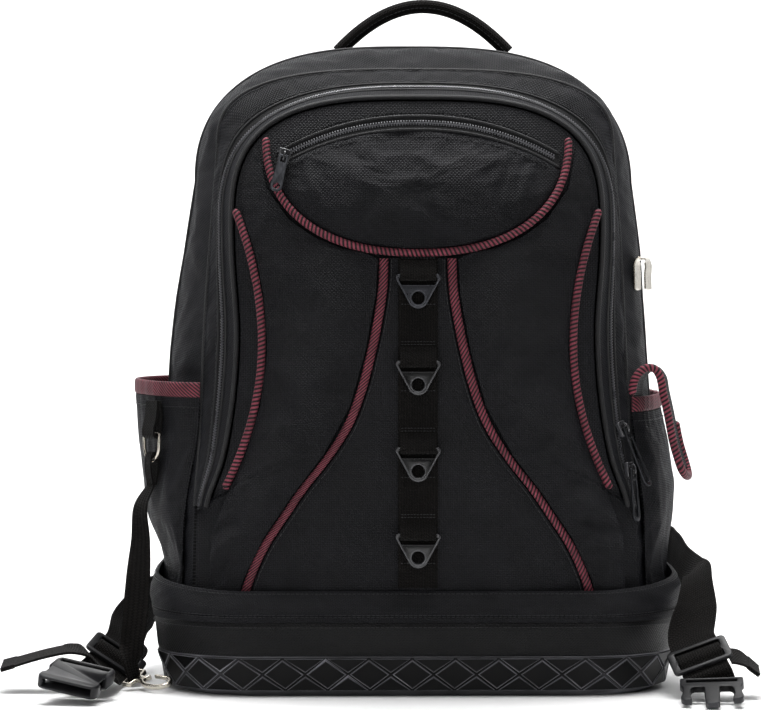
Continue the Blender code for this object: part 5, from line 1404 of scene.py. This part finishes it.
def hang_pull(names, nodes, spot, slider_up, across, pull_up, length, open_frame):
    """A slider on its seat, and a pull that hangs from its bail."""
    outline = [(0.0045, 0.0050), (0.0040, 0.0056), (-0.0040, 0.0056), (-0.0045, 0.0050)]
    outline += [(-0.0040, -0.0050), (-0.0032, -0.0056), (0.0032, -0.0056), (0.0040, -0.0050)]
    body = plate(names[0], [outline], BAIL_SEAT - 0.0004, 0.0007, BLACK_STEEL, 50)
    body.data.transform(Matrix.Translation((0.0, -(BAIL_SEAT + 0.0004) / 2, 0.0)))
    path = route([(0.0, -forward, rise) for forward, rise in BAIL_ROWS], 24)
    bail = sweep(names[0] + "_bail", path, (1, 0, 0), circle(0.0007, 10, 0.9), BLACK_STEEL)
    place(united(body, bail), spot, across, slider_up)
    fit(body, nodes[0])
    up = Vector(slider_up).normalized()
    right = Vector(across)
    right = (right - right.dot(up) * up).normalized()
    axis = Vector(spot) - up.cross(right) * BAIL_AXIS
    top = 0.0009
    end = (0.0, -length + 0.0045)
    outline = [(0.0034, top - 0.0006), (0.0036, -0.006)] + arc(end, 0.0045, 0, -180, 21)
    outline += [(-0.0036, -0.006), (-0.0034, top - 0.0006), (-0.0028, top), (0.0028, top)]
    holes = [rounded(0.0017, 0.00205, 0.0008, (0.0, -0.00285), 4)]
    if open_frame:
        half = (length - 0.011) / 2
        holes.append(rounded(0.0024, half, 0.0015, (0.0, -0.0078 - half), 6))
    else:
        holes.append(arc((0.0, end[1]), 0.0024, 0, 350, 30))
    pull = plate(names[1], [outline, *holes], 0.0016, 0.0004, BRUSHED, 50)
    place(pull, axis, across, pull_up)
    fit(pull, nodes[1], nodes[1])


def pulls():
    x = -0.0965
    height = float(zip_height(x)) - 0.001
    depth = float(front_surface(x, height)) - LIFT - CLOTH - 0.0028
    up = (0.24, 0.22, 0.945)
    names = ("top_zip_slider", "top_zip_pull")
    hang_pull(
        names, ("top_slider", "top_pull"), (x, depth, height),
        (0.24, 0.0, 0.97), (1, 0, 0), up, 0.0275, False,
    )
    across = (0.62, 0.78, 0.0)
    for word, (height, length, pull_up) in SIDE_SLIDERS.items():
        spot = np.array((half_width("zip", height), seam_depth("zip", height), height), float)
        spot += np.array((0.78, -0.62, 0.0)) * 0.0018
        slider_up = (pull_up[0], 0.0, pull_up[2])
        names = (f"side_zip_slider_{word}", f"side_zip_pull_{word}")
        nodes = (f"side_slider_{word}", f"side_pull_{word}")
        hang_pull(names, nodes, spot, slider_up, across, pull_up, length, True)


# Handle and side pockets


def handle():
    share = np.linspace(-1.0, 1.0, 200)
    x = 0.0075 + 0.0655 * share
    z = 0.5152 - (0.5152 - 0.4801) * share**2
    line = evenly(np.column_stack([x, np.full(200, 0.030), z]), 150)
    turn = np.linspace(0, 2 * math.pi, 25)[:-1]
    ridge = 1 + 0.10 * np.exp(-((np.angle(np.exp(1j * (turn + math.pi / 2))) / 0.25) ** 2))
    profile = np.column_stack([0.0058 * np.cos(turn), 0.00505 * np.sin(turn)]) * ridge[:, None]
    made = sweep("webbing_handle", line, (0, 1, 0), profile, WEBBING)
    fit(made, "handle")
    tangent = np.gradient(line, axis=0)
    tangent /= np.linalg.norm(tangent, axis=1, keepdims=True)
    under = np.cross(tangent, (0, 1, 0))
    under *= np.sign(-under[:, 2:])
    sides = np.array((0.0, -1.0, 0.0))
    rows = [(line + sides * 0.0056 + under * 0.0020, sides)]
    fit(stitches("handle_stitching", rows))


POCKET_ROWS = {
    "left": np.array((
        (0.0580, 0.1725, -0.0770, 0.1898),
        (0.0900, 0.1720, -0.0760, 0.1906),
        (0.1250, 0.1710, -0.0750, 0.2015),
        (0.1550, 0.1670, -0.0725, 0.2052),
        (0.1850, 0.1615, -0.0695, 0.2090),
        (0.2150, 0.1595, -0.0680, 0.2120),
    )),
    "right": np.array((
        (0.0580, 0.1690, -0.0790, 0.1890),
        (0.0900, 0.1680, -0.0780, 0.1908),
        (0.1350, 0.1670, -0.0765, 0.1965),
        (0.1700, 0.1630, -0.0730, 0.1950),
        (0.2045, 0.1590, -0.0695, 0.1885),
    )),
}
POCKET_BACK = {"left": (0.1840, 0.075), "right": (0.1780, 0.075)}


def pocket_point(word, z, share):
    """The side pocket's outer face at a height and a share of its way from front to back."""
    rows = POCKET_ROWS[word]
    start_x, start_y, reach = np.moveaxis(through(rows[:, 0], rows[:, 1:], z), -1, 0)
    end_x, end_y = POCKET_BACK[word]
    bulge = reach - (start_x + end_x) / 2
    x = start_x + (end_x - start_x) * share + bulge * np.sin(math.pi * share) ** 0.5
    y = start_y + (end_y - start_y) * share
    return np.stack(np.broadcast_arrays(SIDES[word] * x, y, z), axis=-1)


def side_pocket(word):
    """A side pocket: its settled cloth, the striped tape over its mouth and a row of stitches below."""
    side = SIDES[word]
    share = 0.5 - 0.5 * np.cos(np.linspace(0.0, math.pi, 90))
    low, top = POCKET_ROWS[word][[0, -1], 0]
    levels = np.linspace(low, top, 70)
    outer = np.array([pocket_point(word, np.full(len(share), level), share) for level in levels])
    outer[:, :, 2] += 0.0035 * share * ((levels - low) / (top - low))[:, None] ** 3
    rise = ((levels - 0.09) / 0.05).clip(0, 1)[:, None]
    live = np.sin(math.pi * share) ** 0.5 * rise
    normal = thickened(outer, -side * 1.0) - outer
    folds = ripple(outer * (1.0, 1.0, 0.28), 0.020, 0.0011, 91 + side)
    folds = folds + ripple(outer * (1.0, 1.0, 0.6), 0.045, 0.0010, 95 + side)
    outer = outer - normal * ((np.abs(folds) * 0.8 + 0.0001) * live)[:, :, None]
    outer = settled_grid(outer[:, ::-1], 0.8, 0.006, 0.0020)[:, ::-1]
    made = wall(f"{word}_pocket_cloth", outer, thickened(outer, side * CLOTH), NYLON)
    fit(made, f"{word}_pocket")
    rim = outer[-1] + np.array((0.0, 0.0, 0.0004))
    half = 0.0112 / 2
    middle = rim + np.array((0.0, 0.0, half))
    quarter_turn = np.array(((0, -1, 0), (1, 0, 0), (0, 0, 0)))
    out = frames_along(middle, np.gradient(middle, axis=0) @ quarter_turn.T)[1]
    out = out * np.sign(np.sum(out * (side, 0, 0), axis=1, keepdims=True) + 1e-9)
    middle = middle - out * (CLOTH / 2)
    turn = np.linspace(0, 2 * math.pi, 29)[:-1]
    profile = np.column_stack([
        half * np.sign(np.cos(turn)) * np.abs(np.cos(turn)) ** 0.5,
        0.0019 * np.sign(np.sin(turn)) * np.abs(np.sin(turn)) ** 0.7,
    ])
    made = sweep(f"{word}_pocket_tape", middle, (0, 0, 1), profile, STRIPED)
    fit(made, f"{word}_pocket_binding")
    way = out * (1, 1, 0)
    row = outer[-4] + way * 0.0002
    fit(stitches(f"{word}_pocket_stitching", [(row, way)]))


FLAP_ROWS = (
    (0.1580, 0.2172),
    (0.1595, 0.2280),
    (0.1645, 0.2350),
    (0.1725, 0.2378),
    (0.1775, 0.2325),
    (0.1805, 0.2200),
    (0.1838, 0.2050),
    (0.1888, 0.1800),
    (0.1938, 0.1635),
)


def flap():
    line = route([(x, 0.0, z) for x, z in FLAP_ROWS], 70)
    back = line + np.array((0.0080, -0.0540, 0.0))
    front = line + np.array((0.0, -0.0770, 0.0))
    share = np.linspace(0.0, 1.0, 16)
    grid = np.array([front + part * (back - front) for part in share])
    bow = np.sin(math.pi * share)[:, None]
    normal = thickened(grid, 1.0) - grid
    grid = grid - normal * (bow * (0.0005 + 0.4 * ripple(grid, 0.02, 0.0006, 101)))[:, :, None]
    fit(wall("flap_cloth", grid, thickened(grid, 0.0022), NYLON), "flap")
    edge = 0.0034
    clear = np.array((0.0, edge + 0.0004, 0.0))
    down = np.array((0.0004, 0.0, -edge - 0.0004))
    tip = np.array([front[-1] + down, back[-1] + down])
    path = np.concatenate([front - clear, tip, (back + clear)[:44:-1]])
    path = route(path[::4], 200)
    made = sweep("flap_tape", path, (0.5, 0.6, 0.9), circle(edge - 0.0004, 16), STRIPED, ends=0.003)
    fit(made, "flap_binding")


CLIP_ROWS = (
    (0.1668, 0.2950),
    (0.1667, 0.3060),
    (0.1668, 0.3155),
    (0.1680, 0.3180),
    (0.1706, 0.3184),
    (0.1732, 0.3180),
    (0.1745, 0.3155),
    (0.1745, 0.3060),
    (0.1748, 0.2952),
)


def side_clip():
    line = route([(x, -0.032, z) for x, z in CLIP_ROWS], 60)
    made = sweep("spring_clip", line, (0.36, 0.93, 0.0), webbing_profile(0.018, 0.0012), NICKEL, ends=0.0006)
    fit(made, "side_clip")


# Left side: loop, ring, strap and snap hook

D_BAR = 0.1880
D_HALF = 0.0115


def loop_frame():
    spot, ahead = (pocket_point("left", 0.2, 0.175 + step) for step in (0.0, 0.02))
    across = spot - ahead
    across /= np.linalg.norm(across)
    out = np.array((across[1], -across[0], 0.0))
    return spot * (1, 1, 0) + out * 0.0050, across, out


LOOP_ORIGIN, LOOP_ACROSS, LOOP_OUT = loop_frame()


def hung(rows):
    """Points out from the left pocket's loop and up from the floor."""
    return [
        LOOP_ORIGIN + LOOP_OUT * away + LOOP_ACROSS * aside + (0, 0, height)
        for away, aside, height in rows
    ]


FOLD_ROWS = (
    (-0.0012, 0.0, 0.1500),
    (-0.0026, 0.0, 0.1590),
    (-0.0029, 0.0, 0.1680),
    (-0.0020, 0.0, 0.1722),
    (0.0000, 0.0, 0.1740),
    (0.0020, 0.0, 0.1722),
    (0.0029, 0.0, 0.1680),
    (0.0026, 0.0, 0.1590),
    (0.0009, 0.0, 0.1500),
)
HANGING_ROWS = (
    (-0.2036, -0.0625, 0.1350, 0.80, -0.600, 0.0, 0.0130),
    (-0.2034, -0.0655, 0.1100, 0.90, -0.430, 0.0, 0.0160),
    (-0.2046, -0.0685, 0.0880, 0.96, -0.280, 0.0, 0.0185),
    (-0.2055, -0.0700, 0.0720, 0.97, -0.220, 0.0, 0.0195),
    (-0.2075, -0.0700, 0.0500, 0.96, -0.260, 0.0, 0.0195),
    (-0.2095, -0.0690, 0.0340, 0.95, -0.300, 0.0, 0.0190),
)
HOOK_PLACE = Vector((-0.2082, -0.0665, 0.0085))
HOOK_ALONG = Vector((0.80, -0.58, -0.05)).normalized()


def hook_frame():
    left = Vector((0, 0, 1)).cross(HOOK_ALONG).normalized()
    up = HOOK_ALONG.cross(left)
    tilt = math.radians(24)
    across = left * math.cos(tilt) + up * math.sin(tilt)
    return HOOK_ALONG, across, up * math.cos(tilt) - left * math.sin(tilt)


def left_hangings():
    half = (
        (0.0011, 0.0, 0.2125),
        (0.0022, 0.0, D_BAR + 0.0120),
        (0.0028, 0.0, D_BAR + 0.0030),
        (0.0022, 0.0, D_BAR - 0.0020),
        (0.0000, 0.0, D_BAR - 0.0030),
    )
    rows = []
    for away, aside, height in (*half, *[(-a, b, c) for a, b, c in half[-2::-1]]):
        rows.append((away - 0.0016 * (height > D_BAR + 0.005), aside, height))
    line = route(hung(rows), 70)
    made = sweep("loop_webbing", line, LOOP_ACROSS, webbing_profile(0.0185, 0.0014), WEBBING)
    fit(made, "ring_loop")
    outline = [(D_HALF, 0.0), (D_HALF, -0.006)] + arc((0.0, -0.0085), D_HALF, -12, -168, 31)
    outline += [(-D_HALF, -0.006), (-D_HALF, 0.0)]
    bar = [(x, 0.0) for x in np.linspace(-D_HALF, D_HALF, 12)[1:-1]]
    path = np.array(hung([(0.0, aside, D_BAR + rise) for aside, rise in outline + bar]))
    made = sweep("d_ring_wire", path, LOOP_OUT, circle(0.0013, 14), NICKEL, closed=True)
    fit(made, "d_ring")
    along, left, up = hook_frame()
    eye = HOOK_PLACE + along * 0.0004
    fold = [(*spot, *LOOP_ACROSS, 0.0100) for spot in hung(FOLD_ROWS)]
    rows = [fold[-1], *HANGING_ROWS]
    for rise, width in ((0.0120, 0.0150), (0.0040, 0.0135), (-0.0010, 0.0135)):
        rows.append((*(eye + up * rise), *left, width))
    line = np.concatenate([route(fold, 50)[:-1], route(rows, 150)])
    made = ribbon("hanging_webbing", line, 0.0014, WEBBING)
    fit(made, "hanging_strap")

    def oval(reach, rise, start, end, count):
        turn = np.radians(np.linspace(start, end, count))
        return [(0.0215 + reach * math.cos(a), rise * math.sin(a)) for a in turn]

    neck = [(0.0050, -0.0035), (0.0042, -0.0095), (0.0030, -0.0108), (-0.0026, -0.0108), (-0.0034, -0.0100)]
    neck += [(-0.0034, 0.0100), (-0.0026, 0.0108), (0.0030, 0.0108), (0.0042, 0.0095), (0.0050, 0.0035)]
    outline = oval(0.0135, 0.0090, 60, -160, 45) + neck + oval(0.0135, 0.0090, 160, 138, 7)
    outline += oval(0.0103, 0.0058, 138, 180, 9) + oval(0.0103, 0.0058, -165, 60, 37)
    slot = rounded(0.0017, 0.0085, 0.0008, (0.0, 0.0), 4)
    made = plate("snap_hook_casting", [outline, slot], 0.0036, 0.0009, NICKEL, 60)
    place(made, HOOK_PLACE, along, left)
    fit(made, "snap_hook")
    outline = arc((0.0, 0.0), 0.0011, 90, 270, 13) + [(0.0104, -0.0009), (0.0104, 0.0009)]
    made = plate("snap_gate_lever", [outline], 0.0028, 0.0004, NICKEL, 60)
    place(made, HOOK_PLACE + along * 0.0162 + left * 0.0065, along, left)
    fit(made, "snap_gate", "snap_gate")


# Waist straps

LEFT_WAIST_ROWS = (
    (-0.1868, 0.1068, 0.0560, 0.10, 0.00, -1.00, 0.0345),
    (-0.2020, 0.0900, 0.0540, 0.12, 0.00, -1.00, 0.0345),
    (-0.2085, 0.0550, 0.0490, 0.25, 0.05, -0.97, 0.0345),
    (-0.2140, 0.0250, 0.0450, 0.45, 0.05, -0.89, 0.0345),
    (-0.2180, 0.0020, 0.0375, 0.65, 0.00, -0.76, 0.0345),
)
RIGHT_WAIST_ROWS = (
    (0.1862, 0.1062, 0.0940, 0.05, 0.00, 1.00, 0.0345),
    (0.2010, 0.0900, 0.0940, 0.05, 0.00, 1.00, 0.0345),
    (0.2055, 0.0550, 0.0900, 0.12, 0.05, 0.98, 0.0345),
    (0.2070, 0.0150, 0.0820, 0.25, 0.05, 0.95, 0.0340),
    (0.2085, -0.0180, 0.0820, 0.50, 0.20, 0.75, 0.0290),
    (0.2100, -0.0420, 0.0850, 0.80, 0.30, 0.48, 0.0240),
    (0.2082, -0.0600, 0.0785, 0.85, 0.30, 0.38, 0.0235),
    (0.2062, -0.0770, 0.0640, 0.90, 0.30, 0.31, 0.0290),
)
LEFT_SLIDE = ((-0.2235, -0.0400, 0.0223), (0.82, -0.12, -0.54), (0.35, 0.85, 0.40))
RIGHT_SLIDE = ((0.2030, -0.1175, 0.0303), (0.94, 0.00, 0.34), (-0.20, 0.78, 0.55))
LEFT_BUCKLE = ((-0.2438, -0.1347, 0.0168), (0.95, -0.21, -0.19), (-0.25, -0.95, -0.18))
RIGHT_BUCKLE = ((0.2072, -0.1534, 0.0111), (0.99, -0.10, 0.05), (-0.10, -0.95, -0.26))
LEFT_TAIL_ROWS = (
    (-0.2380, -0.0605, 0.0216, 0.15, -0.97, -0.04),
    (-0.2460, -0.0680, 0.0284, 0.10, -0.98, -0.08),
    (-0.2565, -0.0745, 0.0305, 0.10, -0.99, -0.08),
    (-0.2685, -0.0755, 0.0285, 0.10, -0.99, -0.08),
    (-0.2805, -0.0760, 0.0255, 0.10, -0.99, -0.08),
    (-0.2925, -0.0760, 0.0220, 0.10, -0.99, -0.09),
    (-0.3040, -0.0760, 0.0188, 0.10, -0.99, -0.10),
)
RIGHT_TAIL_ROWS = (
    (0.2235, -0.1180, 0.0302, 0.10, 0.96, 0.24),
    (0.2320, -0.1170, 0.0288, 0.10, 0.97, 0.25),
    (0.2365, -0.1170, 0.0262, 0.10, 0.98, 0.18),
    (0.2410, -0.1170, 0.0226, 0.10, 0.98, 0.15),
    (0.2455, -0.1170, 0.0190, 0.10, 0.99, 0.12),
)


def frame_of(setting):
    spot, right, up = (np.array(value) for value in setting)
    up = up / np.linalg.norm(up)
    right = right - right.dot(up) * up
    right /= np.linalg.norm(right)
    return spot, right, np.cross(up, right), up


def of_width(rows, width):
    return [(*row, width) for row in rows]


def to_buckle(slide, buckle, reach, drop):
    spot, right, back, up = frame_of(slide)
    rows = []
    for along, behind in ((0.0210, 0.0030), (0.0100, 0.0028), (-0.0100, 0.0028), (-0.0170, 0.0026)):
        rows.append((*(spot + along * up + behind * back), *right))
    spot, right, back, up = frame_of(buckle)
    for past in (0.0085, 0.0015, -0.0045):
        rows.append((*(spot - (reach + past) * up - (drop + 0.0007) * back), *right))
    return of_width(rows, 0.0345)


def strap_slide(name):
    outline = rounded(0.0222, 0.0115, 0.0035)
    slots = [rounded(0.0168, 0.0032, 0.0010, (0.0, side * 0.0052), 4) for side in (-1, 1)]
    return plate(name, [outline, *slots], 0.0030, 0.0007, ACETAL, 50)


# webbing round a slide's bar: how far above the bar, and how far behind it
SLIDE_TURN = (
    (0.0078, 0.0012), (0.0060, 0.0004), (0.0030, -0.0020), (0.0, -0.0026),
    (-0.0030, -0.0020), (-0.0060, 0.0004), (-0.0078, 0.0012),
)
SLIDE_WEB_WIDTH = 0.0330


def slide_turn(name, setting):
    """Webbing over a slide's middle bar, up through one slot and down through the other."""
    spot, right, back, up = frame_of(setting)
    rows = []
    for rise, behind in SLIDE_TURN:
        rows.append((*(spot + rise * up + behind * back), *right))
    return fit(ribbon(name, route(of_width(rows, SLIDE_WEB_WIDTH), 40), 0.0014, WEBBING))


def female_buckle(name):
    """The socket half: rounded shell with side windows and a bar for the webbing."""
    slot = rounded(0.0180, 0.0027, 0.0010, (0.0, -0.0172), 5)
    body = plate(name, [rounded(0.0225, 0.0230, 0.0060, steps=9), slot], 0.0100, 0.0016, ACETAL, 50)
    mouth = rounded(0.0185, 0.0190, 0.0020, (0.0, 0.0080), 4)
    socket = plate(name + "_socket", [mouth], 0.0060, 0.0006, ACETAL)
    through_sides = rounded(0.0300, 0.0080, 0.0020, (0.0, 0.0050), 4)
    windows = plate(name + "_windows", [through_sides], 0.0059, 0.0006, ACETAL)
    notches = [
        plate(name + "_notch", [rounded(0.0050, 0.0085, 0.0030, (side * 0.0245, 0.0050), 6)], 0.0300, 0.0004, ACETAL)
        for side in (-1, 1)
    ]
    return cut(body, socket, windows, *notches)


def male_buckle(name):
    """The pronged half, its prongs thinner than its bar."""
    right = [
        (0.0213, -0.0150), (0.0225, -0.0138), (0.0225, -0.0030), (0.0206, 0.0010), (0.0210, 0.0120),
        (0.0220, 0.0180), (0.0215, 0.0212), (0.0196, 0.0236), (0.0170, 0.0242), (0.0146, 0.0236),
        (0.0143, 0.0210), (0.0155, 0.0150), (0.0150, 0.0060), (0.0138, 0.0026), (0.0120, 0.0012),
        (0.0066, 0.0012), (0.0055, 0.0024), (0.0050, 0.0290), (0.0035, 0.0310),
    ]
    left = [(-x, z) for x, z in reversed(right)]
    slot = rounded(0.0180, 0.0027, 0.0010, (0.0, -0.0098), 5)
    return plate(name, [right + left, slot], 0.0050, 0.0009, ACETAL, 50)


def hemmed(name, line):
    """Webbing whose last 10 mm is drawn thicker, standing for its folded-over hem."""
    length = np.concatenate([[0.0], np.cumsum(np.linalg.norm(np.diff(line[:, :3], axis=0), axis=1))])
    turned = np.clip((length - length[-1] + 0.0105) / 0.0006, 0.0, 1.0)
    profiles = np.array([webbing_profile(row[6], 0.0016 + 0.0012 * more) for row, more in zip(line, turned)])
    return sweep(name, line[:, :3], line[:, 3:6], profiles, WEBBING)


def waist_straps():
    rows = [*LEFT_WAIST_ROWS, *to_buckle(LEFT_SLIDE, LEFT_BUCKLE, 0.0230, 0.0055)]
    fit(ribbon("left_waist_webbing", route(rows, 200), 0.0014, WEBBING), "left_waist_strap")
    fit(place(strap_slide("left_ladder_slide"), *LEFT_SLIDE), "left_strap_slide")
    slide_turn("left_slide_turn", LEFT_SLIDE)
    slide_turn("right_slide_turn", RIGHT_SLIDE)
    fit(place(female_buckle("left_buckle_shell"), *LEFT_BUCKLE), "left_buckle")
    line = route(of_width(LEFT_TAIL_ROWS, 0.030), 90)
    fit(hemmed("left_tail_webbing", line), "left_strap_tail")
    rows = [*RIGHT_WAIST_ROWS, *to_buckle(RIGHT_SLIDE, RIGHT_BUCKLE, 0.0150, 0.0037)]
    fit(ribbon("right_waist_webbing", route(rows, 200), 0.0014, WEBBING), "right_waist_strap")
    fit(place(strap_slide("right_ladder_slide"), *RIGHT_SLIDE), "right_strap_slide")
    fit(place(male_buckle("right_buckle_prongs"), *RIGHT_BUCKLE), "right_buckle")
    line = route(of_width(RIGHT_TAIL_ROWS, 0.028), 60)
    fit(hemmed("right_tail_webbing", line), "right_strap_tail")


# Carrying side

SHOULDER_ROWS = (
    (0.0450, 0.1067, 0.4380, 1.00, 0.00, 0.00),
    (0.0480, 0.1165, 0.4180, 1.00, 0.00, 0.00),
    (0.0560, 0.1390, 0.3800, 1.00, 0.00, 0.05),
    (0.0700, 0.1560, 0.3300, 0.98, 0.00, 0.20),
    (0.0900, 0.1600, 0.2800, 0.94, -0.05, 0.33),
    (0.1100, 0.1560, 0.2350, 0.92, -0.08, 0.38),
    (0.1230, 0.1480, 0.2000, 0.94, -0.10, 0.30),
    (0.1290, 0.1432, 0.1812, 0.97, -0.10, 0.24),
)
SHOULDER_WEB_ROWS = (
    (0.1341, 0.1391, 0.1634, 0.97, -0.10, 0.26),
    (0.1360, 0.1365, 0.1580, 0.96, -0.10, 0.25),
    (0.1400, 0.1310, 0.1450, 0.97, -0.10, 0.22),
    (0.1460, 0.1160, 0.1180, 0.98, -0.05, 0.15),
    (0.1490, 0.1020, 0.1000, 1.00, 0.00, 0.10),
)


def pad_profile(width, thickness):
    """A padded strap in section: crowned in the middle, thin along its bound edges."""
    half = width / 2
    share = np.linspace(1.0, -1.0, 33)
    crown = thickness / 2 * (1 - np.abs(share) ** 2.6) ** 0.6 + 0.0016
    edge = np.exp(-(((np.abs(share) - 0.86) / 0.05) ** 2))
    upper = np.column_stack([share * half, crown - 0.0007 * edge])
    lower = np.column_stack([-share * half, -crown + 0.0007 * edge])
    return np.concatenate([upper, lower[1:-1]]) * (1, 0.86)


def shoulder_straps():
    """Two padded straps with bound edges, the webbing below them and its slides."""
    for word, side in SIDES.items():
        line = route(np.array(SHOULDER_ROWS) * (side, 1, 1, 1, side, side), 110)
        spine = line[:, :3]
        profile = pad_profile(0.062, 0.011)
        made = sweep(f"{word}_shoulder_pad", spine, line[:, 3:], profile, MESH, ends=0.006)
        fit(made, f"{word}_shoulder_strap")
        across = frames_along(spine, line[:, 3:])[1]
        for letter, edge in (("a", -1), ("b", 1)):
            path = spine[3:-3] + across[3:-3] * edge * 0.0302
            made = sweep(f"{word}_shoulder_binding_{letter}", path, (0, 1, 0), circle(0.0024, 12), PIPING)
            fit(made)
        web = np.array(of_width(SHOULDER_WEB_ROWS, 0.025)) * (side, 1, 1, 1, side, side, 1)
        tape = ribbon(f"{word}_shoulder_tape", route(web, 90), 0.0014, WEBBING)
        fit(tape, f"{word}_shoulder_webbing")
        outlines = [rounded(0.0170, 0.0085, 0.003), rounded(0.0136, 0.0022, 0.0008, (0.0, 0.0038), 4)]
        slide = plate(f"{word}_shoulder_buckle", outlines, 0.0030, 0.0007, ACETAL, 50)
        place(slide, (side * 0.1312, 0.1420, 0.1720), (1.0, 0.0, side * 0.25), (-side * 0.24, 0.26, 0.93))
        fit(slide, f"{word}_shoulder_slide")


# Studio


def floor_finish():
    """Matt pale backdrop paper."""
    made, tree, shader = finish_of("backdrop_paper", 0.9)
    place = add(tree, "TexCoord", out=3)
    tone = add(tree, "TexNoise", {"Vector": place, "Scale": 3.0, "Detail": 3.0})
    shades = {0: tone, 6: linear("#e9e9e9"), 7: linear("#eeeeee")}
    join(tree, add(tree, "Mix", shades, 2, data_type="RGBA"), shader, "Base Color")
    return made


def studio():
    """A pale paper sweep behind the bag, a large softbox above and in front, and one at each side."""
    turns = np.linspace(0.0, math.pi / 2, 33)
    bend = [(2.2 + 1.2 * math.sin(turn), 1.2 - 1.2 * math.cos(turn)) for turn in turns]
    outline = np.array([(-5.0, 0.0), (1.0, 0.0), *bend, (3.4, 5.0)])
    grid = np.array([np.column_stack([np.full(len(outline), x), outline]) for x in (-5.0, 5.0)])
    mesh = bpy.data.meshes.new("floor")
    mesh.from_pydata(grid.reshape(-1, 3).tolist(), [], quads(*grid.shape[:2])[:, ::-1].tolist())
    shown("floor", mesh, floor_finish())
    world = bpy.data.worlds.new("studio")
    scene.world = world
    world.use_nodes = True
    ground = world.node_tree.nodes["Background"]
    ground.inputs["Color"].default_value = (1.0, 1.0, 1.0, 1.0)
    # the room lights the bag only faintly, and its walls are as pale as the paper
    seen = add(world.node_tree, "LightPath")
    strength = add(world.node_tree, "MapRange", {0: seen, 3: 0.035, 4: 0.85})
    world.node_tree.links.new(strength, ground.inputs["Strength"])
    lights = (
        ("overhead", (0.0, 0.02, 2.3), (0.0, -0.04, 0.0), 1.5, 0.9, 80, 15.0),
        ("ceiling", (0.0, 0.0, 4.2), (0.0, 0.0, 0.0), 9.0, 9.0, 180, 150.0),
        ("left_box", (-1.00, -1.85, 0.55), (0.0, 0.0, 0.15), 0.30, 1.0, 120, 2.6),
        ("right_box", (1.10, -1.75, 0.55), (0.0, 0.0, 0.15), 0.30, 1.0, 120, 1.2),
        ("front_fill", (0.0, -2.6, 1.9), (0.0, 0.0, 0.30), 1.4, 0.9, 120, 3.0),
        ("paper_light", (0.0, 0.9, 2.4), (0.0, 3.4, 0.7), 3.0, 0.8, 180, 150.0),
    )
    for name, spot, target, wide, high, spread, power in lights:
        lamp = bpy.data.lights.new(name, "AREA")
        lamp.shape = "RECTANGLE"
        lamp.size = wide
        lamp.size_y = high
        lamp.spread = math.radians(spread)
        lamp.energy = power
        made = bpy.data.objects.new(name, lamp)
        scene.collection.objects.link(made)
        made.location = spot
        made.rotation_euler = (Vector(target) - Vector(spot)).to_track_quat("-Z", "Y").to_euler()


moulded_tray()
coated_skirt()
cloth_lip()
front_cloth()
front_pouches()
centre_strips()
top_pocket()
front_compartment()
rear_compartment()
padded_back()
ladder()
pulls()
handle()
for word in SIDES:
    side_pocket(word)
flap()
side_clip()
left_hangings()
waist_straps()
shoulder_straps()
studio()
